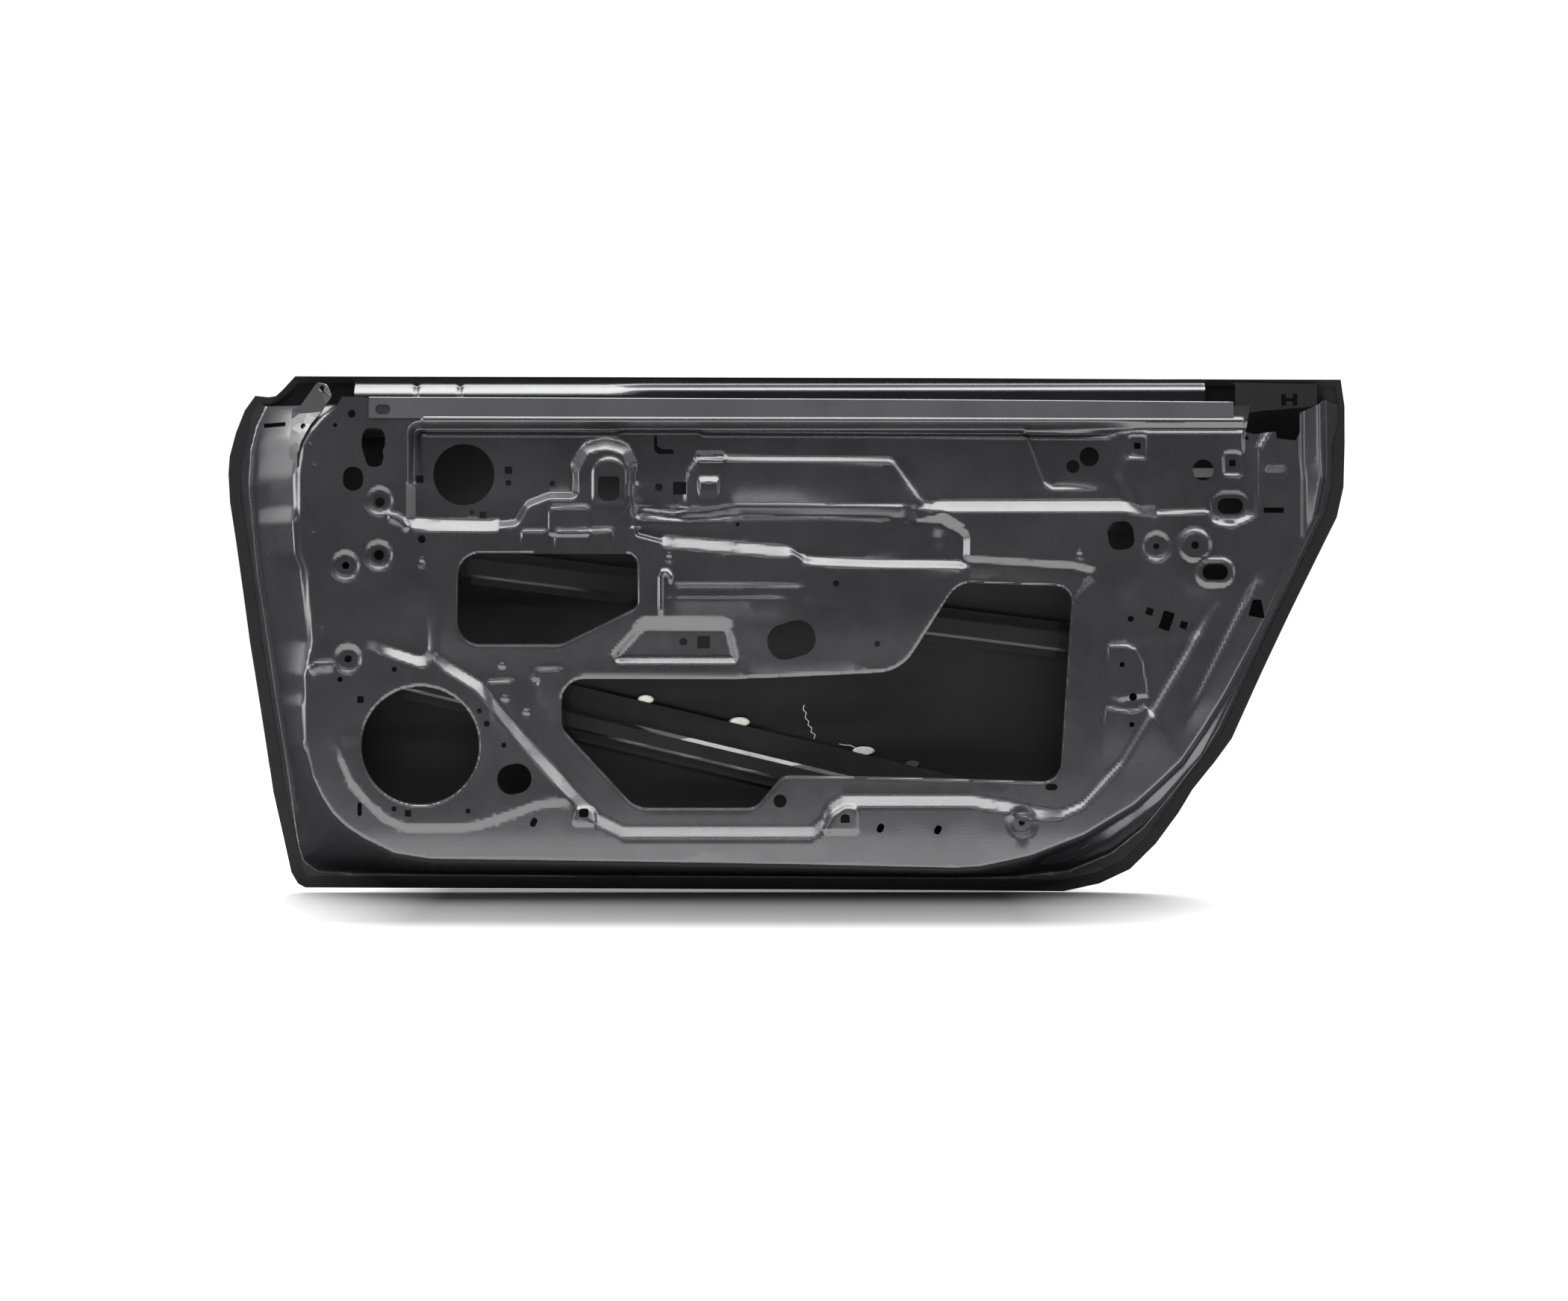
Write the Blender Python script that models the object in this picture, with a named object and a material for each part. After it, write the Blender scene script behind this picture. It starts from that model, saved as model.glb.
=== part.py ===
"""Bare door shell of a frameless coupe, welded and electrocoated, before hinges, latch, glass and trim.

Plan coordinates are x along the door (hinge end to latch end) and z up. "Rise" is how far a sheet stands
towards the cabin from the hem datum, so a point of a sheet is at y = -rise. All sizes are in millimetres
and are turned to metres when a mesh is made.
"""
import math

import bmesh
import bpy
from mathutils import Matrix, Vector
from mathutils.geometry import delaunay_2d_cdt

for old in list(bpy.data.objects):
    bpy.data.objects.remove(old, do_unlink=True)

MM = 0.001

# Sheets and fits
SKIN_T = 0.9
PANEL_T = 1.0
REINF_T = 1.6
BRACKET_T = 1.2
BEAM_T = 1.4
FIT = 0.3
EDGE_PLAY = 1.6

# Levels of the inner panel, measured as rise
FACE = 105.0
SWAGE = 93.0
POCKET = 99.0

# Curvature of the outer skin
BOW_HIGH = 32.0
BOW_MID_Z = -40.0
BOW_HALF = 300.0
BOW_LONG = 10.0
HALF_LENGTH = 650.0

# Hem folded round the flange
HEM_LIP = 13.0
HEM_LIP_TOP = 7.0
TOP_EDGE_Z = 262.0

# Pads on the hinge wall: how far they stand out, brim, heights and reach across the wall
PAD_STEP = 2.0
PAD_BRIM = 6.0
UPPER_PAD_TOP = 199.0
UPPER_PAD_LOW = 163.0
LOWER_PAD_TOP = -66.0
LOWER_PAD_LOW = -102.0
PAD_SHARES = (0.2, 0.8)

# Plates behind the walls: top and bottom heights, then their reach across the wall
UPPER_PLATE = (222.0, 142.0)
LOWER_PLATE = (-52.0, -124.0)
STRAP_PLATE = (88.0, 42.0)
LATCH_PLATE = (242.0, 163.0)
HINGE_PLATE_SHARES = (0.12, 0.86)
STRAP_PLATE_SHARES = (0.2, 0.8)
LATCH_PLATE_SHARES = (0.15, 0.85)
WALL_FIT = 1.0
TAB_FIT = {"upper": 1.0, "lower": 1.8}

# Outside handle: middle, dish, its floor and depth, two apertures (offset, width, height), lock hole
HANDLE = (452.0, 176.0)
HANDLE_DISH = (196.0, 74.0)
HANDLE_FLOOR = (170.0, 52.0)
DISH_DEPTH = 7.0
HANDLE_SLOTS = ((-56.0, 30.0, 22.0), (14.0, 46.0, 26.0))
LOCK_HOLE = (560.0, 128.0, 11.0)

# Forms of the inner face: ledge round the main opening, screw seats and grooved ribs
LEDGE_DEPTH = 7.0
LEDGE_TOP_Z = -60.0
LEDGE_RUN = 80.0
SEAT_WALL = 4.0
SEAT_DEPTH = 3.5
BEAD_HALF = 3.5
BEAD_DEPTH = 3.0
RAMP_STEP = 4.0

# Strip on the belt edge
STRIP_RISE = FACE + PANEL_T / 2 + FIT + PANEL_T / 2
STRIP_FLANGE = 9.0
STRIP_LEAN = 1.2

# Hat-section strip under the skin's top edge: drop from its top edge and stand-off from the flange line
OUTER_BELT_PROFILE = ((1.0, 0.0), (8.0, 0.0), (20.0, 14.0), (48.0, 14.0), (58.0, 0.0), (68.0, 0.0))
OUTER_BELT_TOP = 316.5

# Side beams: section across the beam as (offset upwards, distance from the skin's middle)
SKIN_CLEAR = 9.0
UPPER_SECTION = ((23.0, SKIN_CLEAR), (13.0, SKIN_CLEAR), (10.0, 31.0), (-7.0, 31.0), (-10.0, SKIN_CLEAR),
                 (-19.0, SKIN_CLEAR))
LOWER_SECTION = ((38.0, SKIN_CLEAR), (9.0, SKIN_CLEAR), (5.0, 31.0), (-9.0, 31.0), (-13.0, SKIN_CLEAR),
                 (-24.0, SKIN_CLEAR))

# Corner plates and weld nuts
MIRROR_PLAY = 3.2
MIRROR_LIFT = PANEL_T / 2 + FIT + BRACKET_T / 2
REAR_FLANGE_LEAN = 1.4
REAR_FLANGE_RISE = 36.0
REAR_PLATE_RISE = FACE - PANEL_T / 2 - FIT - BRACKET_T / 2
SLOT_ARM = 0.3
NUT_WIDTH = 20.0
NUT_HEIGHT = 6.5

# Outline of the door at the hem fold, clockwise from the front top corner
OUTLINE = [
    (-567.5, 318), (-192, 317.5), (185, 316.5), (418.5, 315), (646, 314), (651.5, 284),
    (653, 241.5), (653, 191), (646, 156), (591, 41), (560.5, -24.5), (525, -103), (504, -131.5),
    (478.5, -163), (462, -190), (435, -226), (404.5, -255.5), (369, -272), (327, -281),
    (200.5, -280), (-200.5, -278), (-559, -276.5), (-567.5, -272), (-575.5, -259),
    (-598, -165.5), (-612, -77.5), (-626, 10.5), (-634.5, 77.5), (-641, 129), (-647, 173.5),
    (-648, 206), (-646, 226.5), (-638, 253.5), (-627, 279), (-614.5, 295.5), (-599, 294),
    (-590.5, 295.5), (-581.5, 303.5),
]

# Crease between hem flange and side walls, from the front top round the bottom to the rear top
CREASE = [
    (-602.5, 284), (-614, 260.5), (-621, 232), (-623.5, 191), (-620, 144.5), (-615.5, 91.5),
    (-608.5, 44.5), (-594.5, -51.5), (-584, -111.5), (-575.5, -170), (-567.5, -226),
    (-561.5, -243.5), (-545, -255.5), (-503, -258), (-427, -259), (-200.5, -260.5),
    (8.5, -261.5), (200.5, -262.5), (270.5, -261.5), (331.5, -255.5), (382, -234.5),
    (419.5, -205), (455, -162), (490, -116), (507.5, -88), (539, -18.5), (570, 48),
    (622.5, 161.5), (630.5, 201.5), (630.5, 236.5), (628, 292),
]

# Edge where side walls turn into the inner face, same order
FACE_EDGE = [
    (-509.5, 280), (-524.5, 266.5), (-538, 251), (-548.5, 233.5), (-552, 198.5), (-552, 154),
    (-551, 110), (-544, 93), (-541, 50), (-538, 10), (-547.5, -27.5), (-546.5, -67.5),
    (-546, -103), (-538, -144), (-528, -166), (-515, -185.5), (-498, -202), (-479.5, -214.5),
    (-444.5, -232.5), (-403.5, -239.5), (-298, -241), (-196, -242.5), (8.5, -246), (196, -250.5),
    (225, -248.5), (283.5, -235), (342.5, -212), (401, -176.5), (431, -149), (454, -127),
    (479.5, -89.5), (504, -50), (547.5, 31.5), (592, 128.5), (592, 196.5), (590, 220.5),
    (589.5, 271.5),
]

# Shut-face step in the rear wall: its width from the face edge, its outer edge, and the rises of both
STEP_WALL = 4.5
STEP_OUTER = [
    (617, 284), (617.5, 233), (619.5, 198.5), (611, 147), (565, 44), (524, -42), (482.5, -122),
    (434.5, -175.5),
]
STEP_INNER_RISE = 70.0
STEP_OUTER_RISE = 62.0

# Belt edge of the inner panel between the face edge ends, from rear to front
BELT_EDGE = [
    (588.5, 248), (583.5, 239.5), (562, 242), (561, 249.5), (536.5, 247), (527, 249.5),
    (531.5, 279.5), (127.5, 282), (-471, 284.5), (-478.5, 289.5), (-504, 289.5),
]

# Openings of the inner panel as corners (x, z, corner radius)
OPENING_FRONT = [
    (-371.5, 110.5, 25.5), (-168, 110, 12), (-167, 50, 10), (-267.5, 7.5, 34), (-373, 7.5, 25.5),
]
OPENING_MAIN = [
    (-254.5, -32.5, 37.5), (-55.5, -33, 51), (133.5, -25.5, 20.5), (198.5, 78.5, 30.5),
    (329.5, 71.5, 18.5), (317.5, -150.5, 22), (153.5, -145, 51), (-1, -142, 18.5),
    (-32.5, -179.5, 22), (-169.5, -179.5, 34), (-254, -88.5, 20.5),
]
SPEAKER = (-415.0, -108.5, 67.0)

# Corner lists (x, z, corner radius) of the forms pressed into the face
SWAGE_EDGE = [
    (-423, 264, 3.5), (520.5, 264, 2.5), (520.5, 242, 5), (540, 196.5, 25.5),
    (537.5, 140.5, 20.5), (502.5, 133.5, 13.5), (483.5, 149, 8.5), (421.5, 150.5, 17),
    (372, 154, 25.5), (165, 154, 12), (121, 214, 10), (-73, 214, 12), (-90.5, 202, 7),
    (-160, 202, 7), (-180.5, 231, 13.5), (-226.5, 231, 17), (-240, 135.5, 12),
    (-428.5, 133.5, 25.5), (-445.5, 154, 12), (-445.5, 231, 17),
]
SWAGE_FLOOR = [
    (-412, 249.5, 3.5), (512, 249.5, 2.5), (513.5, 237.5, 5), (529.5, 196.5, 17),
    (527, 150.5, 12), (506.5, 145.5, 8.5), (487, 159, 5), (430, 159, 7), (372, 168.5, 15.5),
    (172, 168.5, 8.5), (130.5, 225.5, 8.5), (-83.5, 225.5, 7), (-97, 214, 5), (-151.5, 214, 5),
    (-170.5, 242.5, 13.5), (-236.5, 242.5, 13.5), (-250.5, 147.5, 7), (-417.5, 147.5, 17),
    (-433.5, 159, 8.5), (-433.5, 220.5, 12),
]
SWAGE_RAMP_IN = [
    (359.5, 244.5), (373, 176.5),
]
SWAGE_RAMP_OUT = [
    (388.5, 244.5), (410.5, 168),
]
CHANNEL_EDGE = [
    (-170.5, 164.5, 5), (110.5, 159, 25.5), (180.5, 146.5, 18.5), (211, 127, 15.5),
    (199.5, 98, 10), (42.5, 101.5, 17), (8.5, 106.5, 8.5), (-139.5, 127, 8.5),
    (-170.5, 128.5, 5),
]
CHANNEL_FLOOR = [
    (-162, 154, 3.5), (110.5, 149, 20.5), (177, 138, 12), (199.5, 125, 10), (189, 108, 7),
    (46, 113.5, 12), (10, 119, 7), (-123.5, 139, 7), (-160, 140.5, 3.5),
]
TRAPEZOID_EDGE = [
    (-163.5, 38.5, 7), (-61.5, 38.5, 10), (-56, -18, 5), (-189, -18, 5), (-189, -2.5, 8.5),
]
TRAPEZOID_FLOOR = [
    (-152.5, 25.5, 5), (-71.5, 25.5, 7), (-68, -8.5, 3.5), (-177, -8.5, 2.5), (-177, -1, 3.5),
]
TAPER_EDGE = [
    (-482, 86, 12), (-391.5, 86, 12), (-390, -23, 10), (-405.5, -24.5, 8.5), (-480.5, 4.5, 12),
]
TAPER_FLOOR = [
    (-473.5, 77.5, 7), (-407, 77.5, 8.5), (-403.5, -11, 5), (-472, 13, 7),
]
REAR_BEAD = [
    (484.5, 41), (460, -1), (421.5, -65.5), (383, -129.5), (360, -159), (336.5, -179.5),
    (313.5, -186.5), (293, -186.5),
]
RIM_BEAD = [
    (543.5, 84.5), (518.5, 43.5), (485.5, -25.5), (451.5, -94.5),
]
LEDGE_HIGH = [
    (-274, -118.5), (-248.5, -150.5), (-189, -198.5), (34, -200), (59.5, -166), (243.5, -166),
]
LEDGE_LOW = [
    (-282.5, -123.5), (-257, -161), (-196, -213), (39, -214), (68, -179.5), (243.5, -179.5),
]

# Round holes (x, z, radius) at face level
FACE_HOLES = [
    (-494, 271, 5), (-413, 123.5, 3.5), (-143, 184, 4.5), (106.5, 7.5, 3.5), (59.5, 76.5, 3.5),
    (396, 36, 3.5), (386, -16, 3.5), (398.5, -53, 4.5), (397, -84.5, 3.5), (-444.5, -35, 3.5),
    (-506.5, -33, 3.5), (-347.5, -69, 3.5), (-444.5, -183, 3.5), (-360, -186.5, 3.5),
    (-325.5, -98, 3.5), (-228, -229, 5), (70, -196.5, 4.5),
]
# Round holes in the swage floor and on the ledge round the main opening
FLOOR_HOLES = [
    (-366, 201, 30), (-315, 191.5, 3.5), (-265, 191, 3.5), (349, 221.5, 9.5), (330.5, 203.5, 7),
    (478.5, 206, 11),
]
LEDGE_HOLE = [
    (-4.5, -172, 7.5),
]
# Screw seats: dished (x, z, dish radius, hole radius)
DISH_SEATS = [
    (-500.5, 97, 16, 5), (-497.5, -9.5, 17, 5), (-462.5, 109, 17, 7.5), (-461.5, 169.5, 15.5, 7),
    (271.5, -196.5, 17, 4.5), (425, 119, 16, 4.5),
]
BOSS_SEATS = [
    (468.5, 120, 16, 4.5),
]
# Stadium holes (x, z, width, height) and square ones, at face level
FACE_OVALS = [
    (-468.5, 226.5, 24, 36), (-491.5, 196, 19.5, 25.5), (-307.5, -146.5, 37.5, 32.5),
    (491.5, 87.5, 27.5, 17), (305.5, -154, 13.5, 9.5), (110, -202.5, 8.5, 10),
    (175.5, -204.5, 8.5, 10),
]
FACE_SQUARES = [
    (-344, 122.5, 7.5, 7.5), (417.5, 44.5, 9.5, 9.5), (456.5, 29, 9.5, 9.5), (437, 34, 13, 21.5),
    (558.5, 160, 22, 6), (-484, -181, 5, 16), (-483, -56, 8.5, 8.5), (-428.5, -188, 7.5, 7.5),
    (-322, -16, 7, 7), (-119, 182, 13.5, 13.5), (384, 131, 31.5, 31.5), (403.5, 135.5, 1, 1),
]
FLOOR_SQUARES = [
    (-416.5, 196, 8.5, 8.5), (-315, 209.5, 8.5, 8.5), (403.5, 231.5, 7.5, 7.5),
    (512, 214, 7.5, 7.5), (-136.5, 233.5, 22, 20.5),
]
FLOOR_OVAL = [
    (509.5, 166, 27.5, 16),
]
TRAPEZOID_HOLE = [
    (532, 58, 0), (542.5, 58, 0), (548.5, 35, 0), (529, 38.5, 0),
]
SEAT_OVAL = [
    (8.5, 12, 53, 37.5),
]
SEAT_OVAL_TURN = 18.0
TRAPEZOID_ROUND = [
    (-115, 9.5, 4.5),
]
TRAPEZOID_SQUARE = [
    (-92, 8.5, 13, 13),
]

# Strip spot-welded on the belt edge: corner list, then its top flange and oval hole
BELT_STRIP = [
    (-473.5, 288, 1), (127.5, 285.5, 0), (512.5, 282.5, 1), (512.5, 265, 1), (127.5, 265, 0),
    (-473.5, 265, 1),
]
BELT_STRIP_HOLE = [
    (-457.5, 275, 17, 11),
]

# Strip under the skin's top edge
OUTER_BELT_ENDS = [
    (-498.5, 315), (488.5, 315),
]

# Side beams: end points of the centre line, at the latch and hinge ends
UPPER_BEAM = [
    (-592.5, 125), (515.5, -14),
]
LOWER_BEAM = [
    (-569.5, -2.5), (346, -221),
]

# Corner plates
MIRROR_PLATE = [
    (-566.5, 277.5, 1.5), (-555, 281, 2.5), (-533, 306.5, 3.5), (-521, 303, 5),
    (-515, 289.5, 3.5), (-528, 272.5, 3.5), (-540, 258, 5), (-550, 239.5, 7), (-555, 225.5, 5),
    (-555, 207, 2.5), (-560.5, 210.5, 3.5), (-566.5, 222.5, 5),
]
MIRROR_HOLE = [
    (-527, 299, 3.5),
]
MIRROR_LOWER_HOLE = [
    (-550, 256.5, 3.5),
]
REAR_PLATE = [
    (514.5, 305, 0), (608, 303, 0), (608, 280, 3.5), (592.5, 277, 3.5), (545, 273.5, 5),
    (515, 268.5, 1.5),
]
REAR_SLOT = [
    (576.5, 286, 18.5, 13.5),
]

# Mastic drops between lower beam and skin (x, z, width, height)
MASTIC = [
    (-162.5, -57.5, 19, 10.5), (-52.5, -84, 24.5, 11.5), (93.5, -118, 26, 10.5),
    (151, -133.5, 17.5, 8.5),
]



def skin_y(x, z):
    """Middle of the outer skin's thickness."""
    high = BOW_HIGH * (1 - ((z - BOW_MID_Z) / BOW_HALF) ** 2)
    return high - BOW_LONG * (x / HALF_LENGTH) ** 2


def flange_rise(x, z):
    """Middle of the inner panel's hem flange."""
    return SKIN_T / 2 + FIT + PANEL_T / 2 - skin_y(x, z)


def lip_rise(x, z):
    """Middle of the skin's return lip."""
    return flange_rise(x, z) + PANEL_T / 2 + FIT + SKIN_T / 2


def filleted(corners, steps=3):
    """Closed plan loop through corners (x, z, radius)."""
    loop = []
    count = len(corners)
    for i in range(count):
        here = Vector(corners[i][:2])
        before = (Vector(corners[i - 1][:2]) - here)
        after = (Vector(corners[(i + 1) % count][:2]) - here)
        reach = min(before.length, after.length) * 0.48
        before.normalize()
        after.normalize()
        half = before.angle(after) / 2
        back = min(corners[i][2] / max(math.tan(half), 0.05), reach)
        if back < 0.3 or half > 1.5:
            loop.append((here.x, here.y))
            continue
        radius = back * math.tan(half)
        centre = here + (before + after).normalized() * (radius / math.sin(half))
        start = here + before * back - centre
        sweep = start.angle_signed(here + after * back - centre)
        for k in range(steps + 1):
            turn = -sweep * k / steps
            across = start.x * math.cos(turn) - start.y * math.sin(turn)
            up = start.x * math.sin(turn) + start.y * math.cos(turn)
            loop.append((centre.x + across, centre.y + up))
    return loop


def circle(x, z, radius, steps=12):
    return [(x + radius * math.cos(math.tau * k / steps), z + radius * math.sin(math.tau * k / steps))
            for k in range(steps)]


def turned(loop, x, z, degrees):
    c = math.cos(math.radians(degrees))
    s = math.sin(math.radians(degrees))
    return [(x + (px - x) * c - (pz - z) * s, z + (px - x) * s + (pz - z) * c) for px, pz in loop]


def stadium(x, z, width, height, degrees=0.0, steps=4):
    """Closed loop with round ends across its longer side."""
    r = min(width, height) / 2
    corners = [(x - width / 2, z - height / 2, r), (x + width / 2, z - height / 2, r),
               (x + width / 2, z + height / 2, r), (x - width / 2, z + height / 2, r)]
    return turned(filleted(corners, steps), x, z, degrees)


def square(x, z, width, height, degrees=0.0):
    loop = [(x - width / 2, z - height / 2), (x + width / 2, z - height / 2),
            (x + width / 2, z + height / 2), (x - width / 2, z + height / 2)]
    return turned(loop, x, z, degrees)


def spaced(points, step, closed=True):
    """Points added on long runs so that no run is longer than the step."""
    out = []
    count = len(points)
    for i in range(count if closed else count - 1):
        a = points[i]
        b = points[(i + 1) % count]
        runs = max(1, math.ceil(math.dist(a, b) / step))
        out += [tuple(a[k] + (b[k] - a[k]) * j / runs for k in range(len(a))) for j in range(runs)]
    return out if closed else out + [tuple(points[-1])]


def inset(loop, width):
    """Closed clockwise loop moved inwards; width is a number or one per point."""
    out = []
    count = len(loop)
    for i in range(count):
        here = Vector(loop[i])
        before = (here - Vector(loop[i - 1])).normalized()
        after = (Vector(loop[(i + 1) % count]) - here).normalized()
        inner = Vector((before.y + after.y, -before.x - after.x))
        inner.normalize()
        lean = max(inner.dot(Vector((after.y, -after.x))), 0.5)
        size = width[i] if isinstance(width, list) else width
        out.append((here.x + inner.x * size / lean, here.y + inner.y * size / lean))
    return out


def lifted(loop, rise):
    """Plan loop given its rise, a number or a function of x and z."""
    return [(p[0], p[1], rise(p[0], p[1]) if callable(rise) else rise) for p in loop]


def contains(loop, x, z):
    hit = False
    count = len(loop)
    for i in range(count):
        ax, az = loop[i][0], loop[i][1]
        bx, bz = loop[i - 1][0], loop[i - 1][1]
        if (az > z) != (bz > z) and x < (bx - ax) * (z - az) / (bz - az) + ax:
            hit = not hit
    return hit


def paint(name, shade, rough):
    mat = bpy.data.materials.get(name)
    if mat is None:
        mat = bpy.data.materials.new(name)
        mat.use_nodes = True
        shader = mat.node_tree.nodes["Principled BSDF"]
        shader.inputs["Base Color"].default_value = (shade, shade, shade, 1)
        shader.inputs["Roughness"].default_value = rough
    return mat


def add_object(name, bm, shade=0.03, rough=0.4):
    """Mesh in millimetres made an object with its own material."""
    bmesh.ops.scale(bm, vec=(MM, MM, MM), verts=bm.verts)
    mesh = bpy.data.meshes.new(name)
    bm.to_mesh(mesh)
    bm.free()
    mesh.materials.append(paint(name + "_finish", shade, rough))
    ob = bpy.data.objects.new(name, mesh)
    bpy.context.scene.collection.objects.link(ob)
    return ob


def thicken(ob, thickness):
    """Sheet given its thickness, half to each side of the drawn surface."""
    solid = ob.modifiers.new("sheet", "SOLIDIFY")
    solid.thickness = thickness * MM
    solid.offset = 0
    solid.use_even_offset = True
    bpy.context.view_layer.objects.active = ob
    ob.select_set(True)
    bpy.ops.object.modifier_apply(modifier="sheet")
    ob.select_set(False)
    return ob


def pressed_mesh(outline, cuts=(), forms=(), folds=(), spots=()):
    """Open surface from a plan outline, holes, closed form lines and open fold lines, all (x, z, rise)."""
    plan = []
    rises = []
    edges = []
    for loop, closed in [(outline, True)] + [(c, True) for c in cuts] + [(f, True) for f in forms] \
            + [(f, False) for f in folds] + [([s], False) for s in spots]:
        first = len(plan)
        for x, z, rise in loop:
            plan.append(Vector((x, z)))
            rises.append(rise)
        count = len(loop)
        for i in range(count if closed else count - 1):
            edges.append((first + i, first + (i + 1) % count))
    points, _, faces, origin, _, _ = delaunay_2d_cdt(plan, edges, [], 0, 0.0005)
    bm = bmesh.new()
    made = []
    for i, p in enumerate(points):
        rise = rises[origin[i][0]] if origin[i] else FACE
        made.append(bm.verts.new((p.x, -rise, p.y)))
    for face in faces:
        cx = sum(points[i].x for i in face) / 3
        cz = sum(points[i].y for i in face) / 3
        a, b, c = (points[i] for i in face)
        flat = abs((b - a).cross(c - a)) < 0.01
        if not flat and contains(outline, cx, cz) and not any(contains(c, cx, cz) for c in cuts):
            bm.faces.new([made[i] for i in face])
    bmesh.ops.delete(bm, geom=[v for v in bm.verts if not v.link_faces], context="VERTS")
    bmesh.ops.recalc_face_normals(bm, faces=bm.faces)
    if sum(f.normal.y * f.calc_area() for f in bm.faces) > 0:
        bmesh.ops.reverse_faces(bm, faces=bm.faces)
    return bm


def press(name, thickness, outline, cuts=(), forms=(), folds=(), spots=()):
    bm = pressed_mesh(outline, cuts, forms, folds, spots)
    return thicken(add_object(name, bm), thickness)


def strip(name, thickness, rows):
    """Sheet from rows of equal length, each a list of (x, y, z) points."""
    bm = bmesh.new()
    grid = [[bm.verts.new(p) for p in row] for row in rows]
    for a, b in zip(grid, grid[1:]):
        for k in range(len(a) - 1):
            bm.faces.new((a[k], a[k + 1], b[k + 1], b[k]))
    bmesh.ops.recalc_face_normals(bm, faces=bm.faces)
    return thicken(add_object(name, bm), thickness)


def beside(path, width):
    """Open plan line moved to its left by a width."""
    out = []
    count = len(path)
    for i in range(count):
        run = Vector(path[min(i + 1, count - 1)]) - Vector(path[max(i - 1, 0)])
        out.append(tuple(Vector(path[i]) + run.normalized().orthogonal() * width))
    return out


def along(line, z):
    """x and place of a line (x, z) at a height."""
    for a, b in zip(line, line[1:]):
        if (a[1] - z) * (b[1] - z) <= 0 and a[1] != b[1]:
            return a[0] + (b[0] - a[0]) * (z - a[1]) / (b[1] - a[1])
    return line[0][0] if abs(line[0][1] - z) < abs(line[-1][1] - z) else line[-1][0]


# The hinge wall lies between the front parts of the crease and of the face edge; rows rule it across
FRONT_CREASE = [p for p in CREASE if p[0] < -555]
FRONT_EDGE = [p for p in FACE_EDGE if p[0] < -508 and p[1] > -190]
REAR_CREASE = [p for p in CREASE if p[0] > 400]
WALL_ROWS = [272.0 - 11.5 * k for k in range(37)]
LATCH_ROWS = [250.0 - 23.0 * k for k in range(9)]


def wall_point(z, share, lift=0.0, front=True):
    """Point of the hinge wall at a height, or of the latch wall's lower half; share 0 is at the crease."""
    low = along(FRONT_CREASE if front else REAR_CREASE, z)
    high = along(FRONT_EDGE if front else STEP_OUTER, z)
    base = flange_rise(low, z)
    run = high - low
    climb = (FACE if front else STEP_OUTER_RISE) - base
    size = math.hypot(run, climb)
    x = low + run * share - math.copysign(lift, run * lift) * climb / size
    return (x, -(base + climb * share + lift * abs(run) / size), z)


def with_rows(line, rows):
    """Open line given a point at each row height that it crosses."""
    out = []
    for a, b in zip(line, line[1:]):
        out.append(a)
        hits = [z for z in rows if min(a[1], b[1]) + 0.5 < z < max(a[1], b[1]) - 0.5]
        hits.sort(reverse=a[1] > b[1])
        out += [(a[0] + (b[0] - a[0]) * (z - a[1]) / (b[1] - a[1]), z) for z in hits]
    return out + [line[-1]]


def meeting(line, start, direction):
    """First point where a plan ray meets an open line."""
    best = None
    for a, b in zip(line, line[1:]):
        ax, az = a[0] - start.x, a[1] - start.y
        bx, bz = b[0] - start.x, b[1] - start.y
        side_a = direction.x * az - direction.y * ax
        side_b = direction.x * bz - direction.y * bx
        if (side_a > 0) == (side_b > 0):
            continue
        t = side_a / (side_a - side_b)
        far = (ax + (bx - ax) * t) * direction.x + (az + (bz - az) * t) * direction.y
        if far > 0 and (best is None or far < best):
            best = far
    return best


def pad_forms(z_top, z_low):
    """Flat hinge pad on the hinge wall: foot, brim and flat of the pad, and its centre point."""
    z_mid = (z_top + z_low) / 2
    corner = Vector(wall_point(z_mid, 0.5))
    along_wall = (Vector(wall_point(z_mid, PAD_SHARES[1])) - corner).normalized()
    upwards = (Vector(wall_point(z_top, 0.5)) - Vector(wall_point(z_low, 0.5))).normalized()
    normal = along_wall.cross(upwards).normalized()
    if normal.y > 0:
        normal.negate()
    centre = corner + normal * PAD_STEP

    def loop(grow, on_pad):
        out = []
        ends = (z_low - grow * 60, z_top + grow * 60)
        side = [ends[0] + (ends[1] - ends[0]) * k / 5 for k in range(6)]
        near_line = [(PAD_SHARES[0] - grow, z) for z in side]
        far_line = [(PAD_SHARES[1] + grow, z) for z in side[::-1]]
        for share, z in near_line + far_line:
            p = Vector(wall_point(z, share))
            if on_pad:
                p = p + Vector((0, -1, 0)) * (normal.dot(centre - p) / -normal.y)
            out.append((p.x, p.z, -p.y))
        return out
    return [loop(0.07, False), loop(0.0, True), loop(-0.1, True)], centre + normal * PANEL_T / 2, normal


def skin_rise(x, z):
    return -skin_y(x, z)


def dish_rise(x, z):
    return DISH_DEPTH - skin_y(x, z)


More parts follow.
